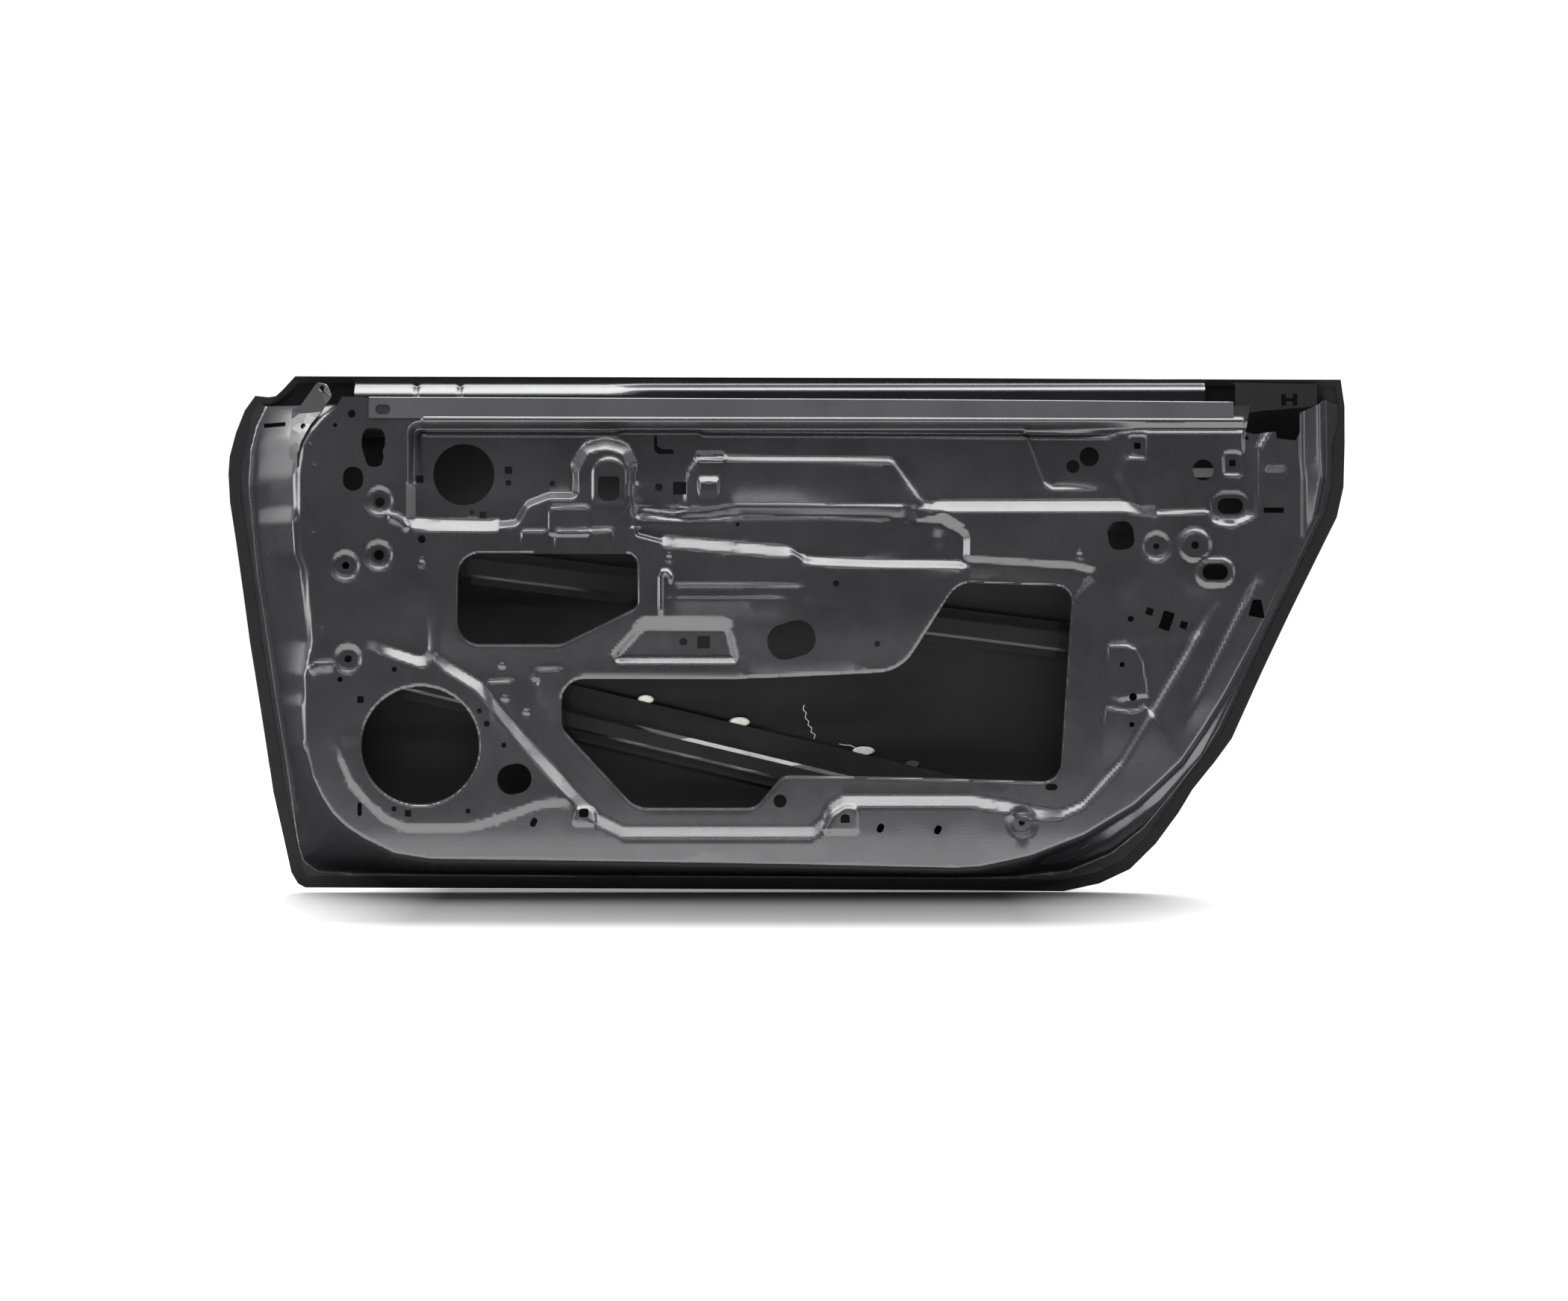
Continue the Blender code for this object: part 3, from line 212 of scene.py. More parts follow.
# Edge of the flat inner face, at the top of the wall.
FACE_EDGE = [
    (-509.5, 280), (-524.5, 266.5), (-538, 251), (-548.5, 233.5), (-552, 198.5), (-552, 154),
    (-551, 110), (-544, 93), (-541, 50), (-538, 10), (-547.5, -27.5), (-546.5, -67.5),
    (-546, -103), (-538, -144), (-528, -166), (-515, -185.5), (-498, -202), (-479.5, -214.5),
    (-444.5, -232.5), (-403.5, -239.5), (-298, -241), (-196, -242.5), (8.5, -246), (196, -250.5),
    (225, -248.5), (283.5, -235), (342.5, -212), (401, -176.5), (431, -149), (454, -127),
    (479.5, -89.5), (504, -50), (547.5, 31.5), (592, 128.5), (592, 196.5), (590, 220.5),
    (589.5, 271.5),
]
# Outer edge of the shelf that runs round the latch end, halfway up the wall.
STEP_OUTER = [
    (617, 284), (617.5, 233), (619.5, 198.5), (611, 147), (565, 44), (524, -42), (482.5, -122),
    (434.5, -175.5), (376, -219.5), (322.5, -246), (257, -257),
]
# Edge of the hem flange, and then the edge cut along the belt.
OUTLINE = [
    (-567.5, 318), (-192, 317.5), (185, 316.5), (418.5, 315), (645, 314), (651.5, 284),
    (653, 241.5), (653, 191), (646, 156), (591, 41), (560.5, -24.5), (525, -103), (504, -131.5),
    (478.5, -163), (462, -190), (435, -226), (404.5, -255.5), (369, -272), (327, -281),
    (200.5, -280), (-200.5, -278), (-559, -276.5), (-567.5, -272), (-575.5, -259),
    (-598, -165.5), (-612, -77.5), (-626, 8.5), (-634.5, 76), (-641, 127.5), (-647, 172.5),
    (-648, 206), (-646, 226.5), (-638, 253.5), (-627, 279), (-614.5, 295.5), (-599, 294),
    (-590.5, 295.5), (-581.5, 303.5),
]
BELT_EDGE = [
    (588.5, 248), (583.5, 239.5), (562, 242), (561, 249.5), (536.5, 247), (527, 249.5),
    (531.5, 279.5), (127.5, 282), (-471, 284.5), (-478.5, 289.5), (-504, 289.5),
]


def skin_y(x, z):
    """Bow of the outer skin away from the cabin."""
    return 32.0 * (1 - ((z + 40.0) / 300.0) ** 2) - 10.0 * (x / 650.0) ** 2


def flange_rise(x, z):
    """Rise of the hem flange, which lies on the outer skin."""
    return 1.25 - skin_y(x, z)


def eased(t):
    """Smooth step from 0 to 1."""
    t = np.clip(t, 0.0, 1.0)
    return t * t * (3 - 2 * t)


def rounded(corners, step=3.0):
    """Closed plan loop through corners (x, z, radius), its arcs in steps of a few millimetres."""
    loop = []
    count = len(corners)
    for i, corner in enumerate(corners):
        here = np.array(corner[:2], float)
        before = np.array(corners[i - 1][:2]) - here
        after = np.array(corners[(i + 1) % count][:2]) - here
        reach = min(np.hypot(*before), np.hypot(*after)) * 0.48
        before /= np.hypot(*before)
        after /= np.hypot(*after)
        half = math.acos(max(-1.0, min(1.0, float(before @ after)))) / 2
        back = min((corner[2] if len(corner) > 2 else 0.0) / max(math.tan(half), 0.05), reach)
        if back < 0.3 or half > 1.5:
            loop.append(tuple(here))
            continue
        radius = back * math.tan(half)
        bisector = before + after
        centre = here + bisector / np.hypot(*bisector) * radius / math.sin(half)
        start = here + before * back - centre
        end = here + after * back - centre
        sweep = math.atan2(start[0] * end[1] - start[1] * end[0], start @ end)
        steps = max(2, int(abs(sweep) * radius / step) + 1)
        for k in range(steps + 1):
            turn = sweep * k / steps
            c, s = math.cos(turn), math.sin(turn)
            loop.append((centre[0] + start[0] * c - start[1] * s, centre[1] + start[0] * s + start[1] * c))
    return loop


def circle(x, z, radius, count=0):
    """Closed plan loop of a round form or hole."""
    count = count or max(12, int(radius * 2.2) + 8)
    return [(x + radius * math.cos(math.tau * k / count), z + radius * math.sin(math.tau * k / count))
            for k in range(count)]


def slot(x, z, width, height, degrees=0.0, radius=None):
    """Closed loop of a slot, oval or square hole."""
    r = min(width, height) / 2 if radius is None else radius
    c, s = math.cos(math.radians(degrees)), math.sin(math.radians(degrees))
    corners = []
    for sx, sz in ((-1, -1), (1, -1), (1, 1), (-1, 1)):
        px, pz = sx * width / 2, sz * height / 2
        corners.append((x + px * c - pz * s, z + px * s + pz * c, r))
    return rounded(corners, 2.0)


def evened(points, closed, gap):
    """Plan line given points no further apart than a gap."""
    out = []
    run = list(points) + ([points[0]] if closed else [])
    for a, b in zip(run, run[1:]):
        parts = max(1, math.ceil(math.hypot(b[0] - a[0], b[1] - a[1]) / gap))
        out += [(a[0] + (b[0] - a[0]) * k / parts, a[1] + (b[1] - a[1]) * k / parts) for k in range(parts)]
    return out if closed else out + [tuple(run[-1][:2])]


def inside(loop, x, z):
    """True where a place lies in a closed plan loop."""
    within = np.zeros(x.shape, bool)
    count = len(loop)
    for i in range(count):
        ax, az = loop[i][:2]
        bx, bz = loop[(i + 1) % count][:2]
        if az == bz:
            continue
        within ^= ((az > z) != (bz > z)) & (x < (bx - ax) * (z - az) / (bz - az) + ax)
    return within


def reach(points, closed, x, z):
    """Distance from a plan line, its signed side, and the length along the line to the nearest point."""
    run = list(points) + ([points[0]] if closed else [])
    near = np.full(x.shape, 1e9, np.float32)
    side = np.zeros(x.shape, np.float32)
    gone = np.zeros(x.shape, np.float32)
    length = 0.0
    for a, b in zip(run, run[1:]):
        dx, dz = b[0] - a[0], b[1] - a[1]
        size = math.hypot(dx, dz)
        if size < 1e-6:
            continue
        t = np.clip(((x - a[0]) * dx + (z - a[1]) * dz) / size ** 2, 0, 1)
        px, pz = x - a[0] - t * dx, z - a[1] - t * dz
        far = np.sqrt(px * px + pz * pz)
        closer = far < near
        near = np.where(closer, far, near)
        side = np.where(closer, dx * pz - dz * px, side)
        gone = np.where(closer, length + t * size, gone)
        length += size
    return near, side, gone, length


class Relief:
    """Rise of a pressed sheet over a plan grid, worked form by form and read back at any place."""

    def __init__(self, low, high):
        self.x0, self.z0 = low
        self.xs = np.arange(low[0], high[0], GRID, dtype=np.float32)
        self.zs = np.arange(low[1], high[1], GRID, dtype=np.float32)
        self.x, self.z = np.meshgrid(self.xs, self.zs)
        self.rise = np.zeros(self.x.shape, np.float32)

    def window(self, points, margin):
        """Part of the grid that lies round some points, as rows and columns."""
        part = []
        for axis, start in ((1, self.z0), (0, self.x0)):
            run = [p[axis] for p in points]
            first = max(0, int((min(run) - margin - start) / GRID))
            last = max(0, int((max(run) + margin - start) / GRID) + 2)
            part.append(slice(first, last))
        return tuple(part)

    def form(self, loop, by, wall, fade=None):
        """Area pressed up or down by a depth, its wall centred on the loop."""
        part = self.window(loop, 24.0)
        x, z = self.x[part], self.z[part]
        near = reach(loop, True, x, z)[0]
        near = np.where(inside(loop, x, z), near, -near)
        share = np.clip(0.5 + near / (wall(x, z) if callable(wall) else wall), 0, 1)
        if fade is not None:
            share = share * fade(x, z)
        self.rise[part] += by * share

    def ledge(self, path, by, wall, fade, taper=12.0):
        """Step along an open line, on its right side, which dies away over a distance and at both ends."""
        part = self.window(path, fade + wall)
        x, z = self.x[part], self.z[part]
        near, side, gone, length = reach(path, False, x, z)
        off = np.where(side < 0, near, -near)
        ends = eased(gone / taper) * eased((length - gone) / taper)
        self.rise[part] += by * np.clip(0.5 + off / wall, 0, 1) * (1 - eased(off / fade)) * ends

    def bead(self, path, width, by, closed=False, taper=8.0, flat=0.0):
        """Rounded rib or groove along a line."""
        part = self.window(path, width + 2)
        x, z = self.x[part], self.z[part]
        near, side, gone, length = reach(path, closed, x, z)
        ends = 1.0 if closed else eased(gone / taper) * eased((length - gone) / taper)
        across = np.clip((near - flat) / (width / 2 - flat), 0, 1)
        self.rise[part] += by * (0.5 + 0.5 * np.cos(math.pi * across)) * ends

    def dish(self, x, z, radius, by, wall):
        """Round seat with a sloping wall."""
        self.form(circle(x, z, radius - wall / 2), by, wall)

    def dome(self, x, z, radius, by):
        """Round pip or dimple without a flat."""
        part = self.window([(x, z)], radius + 1)
        away = np.hypot(self.x[part] - x, self.z[part] - z) / radius
        self.rise[part] += by * np.where(away < 1, 0.5 + 0.5 * np.cos(math.pi * np.minimum(away, 1)), 0)

    def lip(self, loop, width, by):
        """Edge of an opening rolled away from the cabin."""
        part = self.window(loop, width + 2)
        near = reach(loop, True, self.x[part], self.z[part])[0]
        self.rise[part] -= by * np.clip(1 - near / width, 0, 1) ** 2

    def soften(self, radius):
        """Bend radii: the whole form blurred over a few millimetres."""
        half = max(1, int(radius * 2.2 / GRID))
        weights = np.exp(-0.5 * (np.arange(-half, half + 1) * GRID / radius) ** 2)
        weights /= weights.sum()
        for axis in (0, 1):
            pads = [(half, half) if a == axis else (0, 0) for a in (0, 1)]
            wide = np.pad(self.rise, pads, mode="edge")
            size = self.rise.shape[axis]
            total = np.zeros_like(self.rise)
            for k, w in enumerate(weights):
                total += w * (wide[k:k + size] if axis == 0 else wide[:, k:k + size])
            self.rise = total

    def read(self, field, x, z):
        """Value of a field at places, between the grid's own points."""
        i = np.clip((x - self.x0) / GRID, 0, field.shape[1] - 1.001)
        j = np.clip((z - self.z0) / GRID, 0, field.shape[0] - 1.001)
        i0, j0 = i.astype(int), j.astype(int)
        u, v = i - i0, j - j0
        return (field[j0, i0] * (1 - u) * (1 - v) + field[j0, i0 + 1] * u * (1 - v)
                + field[j0 + 1, i0] * (1 - u) * v + field[j0 + 1, i0 + 1] * u * v)

    def places(self, slack, tilt):
        """Grid places for the mesh: sparse on flats and close where the form bends.

        A cell is split where its middle is off by more than a slack in mm, or its slope by more than a tilt.
        """
        found = []
        size = WIDEST
        rows, cols = self.rise.shape
        cells = np.array([(j, i) for j in range(0, rows - 1, size) for i in range(0, cols - 1, size)])
        pad = WIDEST + 1
        fields = [(self.rise, slack)] + [(slope, tilt) for slope in np.gradient(self.rise, GRID)]
        fields = [(np.pad(field, ((0, pad), (0, pad)), mode="edge"), least) for field, least in fields]
        while len(cells):
            for dj, di in ((0, 0), (0, size), (size, 0), (size, size)):
                found.append(np.stack([cells[:, 0] + dj, cells[:, 1] + di], axis=1))
            if size <= FINEST:
                break
            span = np.arange(size + 1)
            worst = np.zeros(len(cells), np.float32)
            for field, least in fields:
                a = field[cells[:, 0], cells[:, 1]]
                b = field[cells[:, 0], cells[:, 1] + size]
                c = field[cells[:, 0] + size, cells[:, 1]]
                d = field[cells[:, 0] + size, cells[:, 1] + size]
                for v in span[::max(1, size // 8)]:
                    for u in span[::max(1, size // 8)]:
                        s, t = u / size, v / size
                        flat = a * (1 - s) * (1 - t) + b * s * (1 - t) + c * (1 - s) * t + d * s * t
                        off = np.abs(field[cells[:, 0] + v, cells[:, 1] + u] - flat) / least
                        np.maximum(worst, off, out=worst)
            cells = cells[worst > 1.0]
            size //= 2
            if len(cells):
                cells = np.concatenate([cells + (dj, di) for dj in (0, size) for di in (0, size)])
        keys = np.unique(np.concatenate(found), axis=0)
        keys = keys[(keys[:, 0] < rows) & (keys[:, 1] < cols)]
        return self.xs[keys[:, 1]], self.zs[keys[:, 0]]


def plan_faces(relief, loops, slack, tilt):
    """Triangles that fill a plan outline around its holes, closer where the relief bends."""
    px, pz = relief.places(slack, tilt)
    keep = inside(loops[0], px, pz)
    for hole in loops[1:]:
        hx = [p[0] for p in hole]
        hz = [p[1] for p in hole]
        close = (px > min(hx) - 1) & (px < max(hx) + 1) & (pz > min(hz) - 1) & (pz < max(hz) + 1) & keep
        keep[close] &= ~inside(hole, px[close], pz[close])
    taken = np.zeros(relief.rise.shape, bool)
    for loop in loops:
        fine = np.array(evened(loop, True, GRID * 0.7))
        j = np.clip(np.rint((fine[:, 1] - relief.z0) / GRID).astype(int), 1, taken.shape[0] - 2)
        i = np.clip(np.rint((fine[:, 0] - relief.x0) / GRID).astype(int), 1, taken.shape[1] - 2)
        for dj in (-1, 0, 1):
            for di in (-1, 0, 1):
                taken[j + dj, i + di] = True
    j = np.rint((pz - relief.z0) / GRID).astype(int)
    i = np.rint((px - relief.x0) / GRID).astype(int)
    keep &= ~taken[j, i]
    plan = [Vector(p) for loop in loops for p in loop]
    edges = []
    first = 0
    for loop in loops:
        edges += [(first + k, first + (k + 1) % len(loop)) for k in range(len(loop))]
        first += len(loop)
    plan += [Vector((float(a), float(b))) for a, b in zip(px[keep], pz[keep])]
    points, _, faces, _, _, _ = delaunay_2d_cdt(plan, edges, [], 0, 0.0001)
    p = np.array([(q.x, q.y) for q in points])
    f = np.array([face for face in faces if len(face) == 3])
    mid = p[f].mean(axis=1)
    u = p[f[:, 1]] - p[f[:, 0]]
    v = p[f[:, 2]] - p[f[:, 0]]
    area = u[:, 0] * v[:, 1] - u[:, 1] * v[:, 0]
    good = inside(loops[0], mid[:, 0], mid[:, 1]) & (np.abs(area) > 1e-4)
    for hole in loops[1:]:
        good &= ~inside(hole, mid[:, 0], mid[:, 1])
    f = np.where((area > 0)[:, None], f, f[:, ::-1])[good]
    used = np.unique(f)
    back = np.full(len(p), -1)
    back[used] = np.arange(len(used))
    return p[used], back[f]


def sheet_mesh(name, relief, outline, holes, thickness, slack, tilt):
    """Closed sheet that follows a relief inside an outline with holes, and has the form's own normals."""
    loops = [evened(loop, True, EDGE_GAP) for loop in [outline] + holes]
    p, f = plan_faces(relief, loops, slack, tilt)
    slope_z, slope_x = np.gradient(relief.rise, GRID)
    h = relief.read(relief.rise, p[:, 0], p[:, 1])
    gx = relief.read(slope_x, p[:, 0], p[:, 1])
    gz = relief.read(slope_z, p[:, 0], p[:, 1])
    normal = np.stack([-gx, -np.ones_like(gx), -gz], axis=1)
    normal /= np.linalg.norm(normal, axis=1)[:, None]
    middle = np.stack([p[:, 0], -h, p[:, 1]], axis=1)
    # Front and rear lie half a thickness off the middle, and walls join them along every free edge.
    count = len(p)
    front = middle + normal * thickness / 2
    rear = middle - normal * thickness / 2
    ends = np.concatenate([f[:, [0, 1]], f[:, [1, 2]], f[:, [2, 0]]])
    code = ends.min(axis=1) * count + ends.max(axis=1)
    _, index, times = np.unique(code, return_index=True, return_counts=True)
    rim = ends[index[times == 1]]
    walls = np.concatenate([np.stack([rim[:, 1], rim[:, 0], rim[:, 0] + count], axis=1),
                            np.stack([rim[:, 1], rim[:, 0] + count, rim[:, 1] + count], axis=1)])
    triangles = np.concatenate([f, f[:, ::-1] + count, walls])
    corners = (np.concatenate([front, rear]) + DOOR_ORIGIN) / 1000
    mesh = bpy.data.meshes.new(name)
    mesh.from_pydata(corners.tolist(), [], triangles.tolist())
    mesh.shade_smooth()
    run = corners[walls[:, 1]] - corners[walls[:, 0]]
    fall = corners[walls[:, 2]] - corners[walls[:, 0]]
    wall_normal = np.cross(run, fall)
    wall_normal /= np.maximum(np.linalg.norm(wall_normal, axis=1)[:, None], 1e-12)
    shading = np.concatenate([normal[f].reshape(-1, 3), -normal[f[:, ::-1]].reshape(-1, 3),
                              np.repeat(wall_normal, 3, axis=0)])
    mesh.normals_split_custom_set(shading.tolist())
    piece = bpy.data.objects.new(name, mesh)
    bpy.context.scene.collection.objects.link(piece)
    return piece


# Rim: the wall between flange and face leans in one run in front and breaks into a shelf at the latch end.
panel = Relief((-652.0, -292.0), (662.0, 330.0))
face_area = FACE_EDGE + [(587.0, 345.0), (-500.0, 345.0)]
crease_area = CREASE + [(630.0, 345.0), (-598.0, 345.0)]
step_area = FACE_EDGE[:25] + STEP_OUTER[::-1] + [(616.0, 345.0), (-500.0, 345.0)]
FRONT_CREASE = [q for q in CREASE if q[0] < -555]
FRONT_EDGE = [q for q in FACE_EDGE if q[0] < -500 and q[1] > -200]


def signed(loop):
    """Distance inside a plan loop, less than nothing outside it."""
    away = reach(loop, True, panel.x, panel.z)[0]
    return np.where(inside(loop, panel.x, panel.z), away, -away)


to_face = -signed(face_area)
to_crease = signed(crease_area)
to_step = signed(step_area)
base = flange_rise(panel.x, panel.z)
share = np.clip(to_crease / np.maximum(to_crease + to_face, 0.01), 0, 1)
straight = base + (FACE - base) * share
low_x = np.interp(panel.zs, [q[1] for q in FRONT_CREASE[::-1]], [q[0] for q in FRONT_CREASE[::-1]])[:, None]
high_x = np.interp(panel.zs, [q[1] for q in FRONT_EDGE[::-1]], [q[0] for q in FRONT_EDGE[::-1]])[:, None]
ruled = np.clip((panel.x - low_x) / (high_x - low_x), 0, 1)
ruled = base + (FACE - base) * ruled
front_part = eased((panel.z + 190.0) / 40.0) * (panel.x < -480)
straight = straight * (1 - front_part) + ruled * front_part
run_out = eased((panel.x - 255.0) / 150.0)
shelf_in = 70.0 * run_out - 10.0 * (1 - run_out)
shelf_out = 62.0 * run_out - 14.0 * (1 - run_out)
wall_one = 4.5 + 10.0 * (1 - run_out)
beyond = np.maximum(to_face - wall_one, 0)
stepped = np.where(to_face < wall_one, FACE - (FACE - shelf_in) * to_face / wall_one,
                   shelf_in + (shelf_out - shelf_in) * beyond / np.maximum(beyond + to_step, 0.01))
outer = base + (shelf_out - base) * np.clip(to_crease / np.maximum(to_crease - to_step, 0.01), 0, 1)
stepped = np.where(to_step > 0, stepped, outer)
rear_part = eased((panel.x - 255.0) / 60.0)
wall = straight * (1 - rear_part) + stepped * rear_part
up_wall = np.clip((panel.x - low_x) / (high_x - low_x), 0, 1)
# The two flat hinge pads stand out of the front wall, by these heights at these places.
PAD_PLACES = (-160, -135, -108, -104, -63, -49, 147, 164, 201, 228, 243, 258)
PAD_HEIGHTS = (0, 3, 14, 12, 12, 5, 15, 9, 9, 3, 3, 0)
pads = np.interp(panel.zs, PAD_PLACES, PAD_HEIGHTS)[:, None]
wall += pads * eased(up_wall / 0.14) * eased((1 - up_wall) / 0.14) * (panel.x < -480)
panel.rise = np.where(to_face <= 0, FACE, np.where(to_crease > 0, wall, base)).astype(np.float32)
panel.soften(1.6)

# Forms pressed into the inner face, from the belt down: closed areas, steps, ribs and round seats.
# The belt recess runs under the belt line, deep in front and shallow behind a ramp near the latch end.
RECESS = [
    (-426.5, 257.5, 10), (555, 257.5, 2.5), (541.5, 231, 8.5), (541.5, 179.5, 7),
    (536.5, 154, 8.5), (511, 142, 13.5), (489.5, 146.5, 8.5), (483, 159, 3.5), (425, 156.5, 8.5),
    (387.5, 165, 17), (179, 164.5, 12), (150, 156, 7), (-165, 156, 7), (-173.5, 176.5, 5),
    (-173, 212, 8.5), (-182, 231, 12), (-203.5, 236.5, 15.5), (-225.5, 231.5, 13.5),
    (-237.5, 212, 13.5), (-237.5, 176.5, 5), (-268.5, 176.5, 13.5), (-293, 167, 13.5),
    (-305, 145.5, 7), (-336.5, 142, 5), (-404.5, 143, 5), (-426.5, 145.5, 7),
]
RAMP = [(380, 299, 0), (380, 203.5, 7), (410.5, 145.5, 3.5), (570.5, 120, 0), (570.5, 299, 0)]


def recess_wall(x, z):
    """Width of the belt recess's wall: wider at its foot, length by length, and round the tall arch."""
    foot = eased((195.0 - z) / 8.0)
    arch = 8.0 * (np.abs(x + 205.0) < 46) * (z < 247) * eased((z - 200.0) / 14.0)
    wider = np.select([x < -325, x < -174, x < 152, x < 425], [8.0, 1.5, 12.0, 7.0], -1.0)
    return 6.0 + 2.0 * eased((z - 238.0) / 8.0) + arch + foot * wider


def ramp_share(x, z):
    """Share of the recess's depth: a third behind the ramp, and a little more towards the belt."""
    loop = rounded(RAMP)
    near = reach(loop, True, x, z)[0]
    near = np.where(inside(loop, x, z), near, -near)
    ramp = 24.0 + 60.0 * eased((z - 210.0) / 30.0)
    return (1 - 0.66 * eased(0.5 + near / ramp)) * (1 + 0.3 * eased((z - 170.0) / 70.0))


panel.form(rounded(RECESS), -10.0, recess_wall, ramp_share)
panel.form(rounded([
    (274, 253, 2.5), (297, 191.5, 7), (306.5, 185.5, 7), (378, 185.5, 5), (378, 249.5, 3.5),
]), -3.0, 4.5, lambda x, z: 1 - eased((x - 318.0) / 54.0))
panel.ledge([(-415.5, 266.5), (527, 264)], 3.0, 3.8, 26.0, 6.0)
panel.ledge([
    (-419, 248), (-192.5, 247), (-185.5, 250.5), (-97, 250.5), (-92, 247), (369.5, 244.5),
    (383, 249.5), (527, 249.5),
], 4.0, 5.0, 60.0, 6.0)
panel.ledge([
    (-175.5, 169.5), (-167, 162), (-127.5, 157.5), (-87, 161), (-53, 167), (8.5, 167),
    (139.5, 165),
], 1.9, 2.6, 24.0, 6.0)
panel.ledge([
    (-168.5, 156.5), (-134.5, 150.5), (-107.5, 148), (-80, 150), (-46, 154), (8.5, 153.5),
    (126, 150.5),
], 1.9, 2.6, 24.0, 6.0)

# Lower field: sunk towards the foot of the main opening, and bounded by the long ledge from the speaker hole
# to the latch end.
SUNK = [
    (-396, 60.5, 0), (-396, -7.5, 8.5), (-385, -18.5, 5), (-349, -41, 17), (-298, -103, 17),
    (-247, -159, 17), (-213, -193.5, 22), (-184, -208, 12), (34, -208, 12), (47.5, -195, 10),
    (53, -181.5, 10), (68, -172, 12), (213, -172, 34), (257, -179.5, 12), (285.5, -186.5, 12),
    (315, -188, 20.5), (340.5, -176.5, 25.5), (386, -127, 34), (461.5, -1, 25.5),
    (494, 60.5, 8.5), (468.5, 145.5, 0), (-366, 145.5, 0),
]


def sunk_share(x, z):
    """Share of the field's depth, which fades out upwards."""
    left = eased((62.0 - z) / 100.0)
    right = eased((100.0 - z) / 90.0)
    blend = eased((x - 250.0) / 90.0)
    return (left * (1 - blend) + right * blend) * (1 - 0.34 * eased((x - 288.0) / 22.0))


def sunk_wall(x, z):
    """Width of the long ledge, narrower towards the latch end."""
    return 12.0 + 2.0 * eased((x + 330.0) / 60.0) - 6.0 * eased((x - 290.0) / 40.0)


panel.form(rounded(SUNK), -9.0, sunk_wall, sunk_share)

# Channel for the inside handle's rods, with its round rear end, and the stepped plateau below it.
CHANNEL = [
    (-173.5, 162, 4.5), (-136.5, 157.5, 17), (-104, 154, 17), (-64, 159, 17), (140.5, 156.5, 5),
    (146.5, 154, 1.5), (180.5, 152.5, 12), (209.5, 133.5, 15.5), (208, 97, 5), (51, 100.5, 3.5),
    (25.5, 103, 3.5), (10, 112.5, 3.5), (-17, 114, 3.5), (-141.5, 125, 3.5), (-168.5, 132, 3.5),
]


def channel_wall(x, z):
    """Width of the channel's wall: steep at the step in its lower edge and at its front end."""
    step = 12.0 * np.exp(-(((x - 15.0) / 9.0) ** 2))
    return 14.0 - (z < 140) * (step + 4.5 * (x > 25) + 11.0 * eased((-136.0 - x) / 6.0))


panel.form(rounded(CHANNEL), -8.0, channel_wall)
panel.form(rounded([
    (-114, 156, 2.5), (-112.5, 188, 7), (-109, 205, 7), (-97, 221.5, 5), (-61.5, 219.5, 3.5),
    (123.5, 217, 7.5), (162, 162.5, 3.5), (150, 156, 3.5),
]), 4.2, lambda x, z: 6.6 + 11.0 * eased((z - 174.0) / -12.0))
panel.ledge([(199.5, 104.5), (230, 103.5), (332, 97), (351, 92), (361, 82.5)], -4.5, 9.0, 55.0, 14.0)
panel.ledge([(-129.5, 75), (-51, 75), (24, 73)], 2.4, 4.2, 30.0, 8.0)
panel.ledge([(-145, 60.5), (-59.5, 60.5), (18.5, 61.5)], 2.2, 4.0, 30.0, 34.0)
panel.bead([
    (-140.5, 38.5), (-140.5, 82.5), (-138, 89.5), (-133.5, 89.5), (-129.5, 84.5), (-128.5, 74),
], 8.0, 3.4, False, 9.0)
panel.dome(176.5, 127, 13.0, 2.6)

# Trapezoid seat, pocket in front of the front opening and soft pad round the oval hole.
panel.form(rounded([
    (-160, 31.5, 7), (-64.5, 30, 7), (-54.5, -12, 2.5), (-191, -12, 3.5), (-194, -6, 2.5),
]), -7.0, lambda x, z: 8.0 + 6.0 * eased((z - 20.0) / 8.0))
panel.form(rounded([
    (-494, 82, 8.5), (-409, 87.5, 8.5), (-400.5, 60.5, 17), (-400.5, -1, 12), (-412, -14.5, 10),
    (-478.5, 7.5, 7),
]), -9.0, lambda x, z: 11.0 + 4.0 * eased((x + 425.0) / 16.0),
    lambda x, z: eased((x + 492.0) / 60.0) * eased((92.0 - z) / 96.0))
panel.form(rounded([(-36, 50, 8.5), (79, 55.5, 8.5), (79, -20.5, 12), (-36, -24.5, 12)]), 1.5, 16.0)

# Tongues beside the recess: two tall arches and the stepped double arch in front of them.
panel.form(rounded([
    (-218, 154, 3.5), (-218, 219, 20.5), (-180.5, 219, 20.5), (-180.5, 154, 3.5),
]), 3.0, 4.0, lambda x, z: eased((z - 160.0) / 18.0))
panel.form(rounded([
    (-268.5, 132, 3.5), (-268.5, 163.5, 8.5), (-221.5, 164.5, 5), (-221.5, 132, 3.5),
]), 2.6, 4.0)
panel.ledge([(-301.5, 136.5), (-267.5, 136.5)], 2.6, 4.5, 40.0, 5.0)
panel.ledge([(-263, 136.5), (-247, 135.5), (-192.5, 138)], 3.4, 6.5, 40.0, 6.0)
panel.ledge([(-453, 156.5), (-441, 154), (-432, 148), (-424, 139.5)], 4.0, 7.0, 14.0, 6.0)
panel.ledge([(-99, 195), (-73, 195)], 5.5, 7.5, 30.0, 4.0)
panel.bead(slot(-84.5, 220.5, 34.0, 8.0), 4.0, 1.6, True)

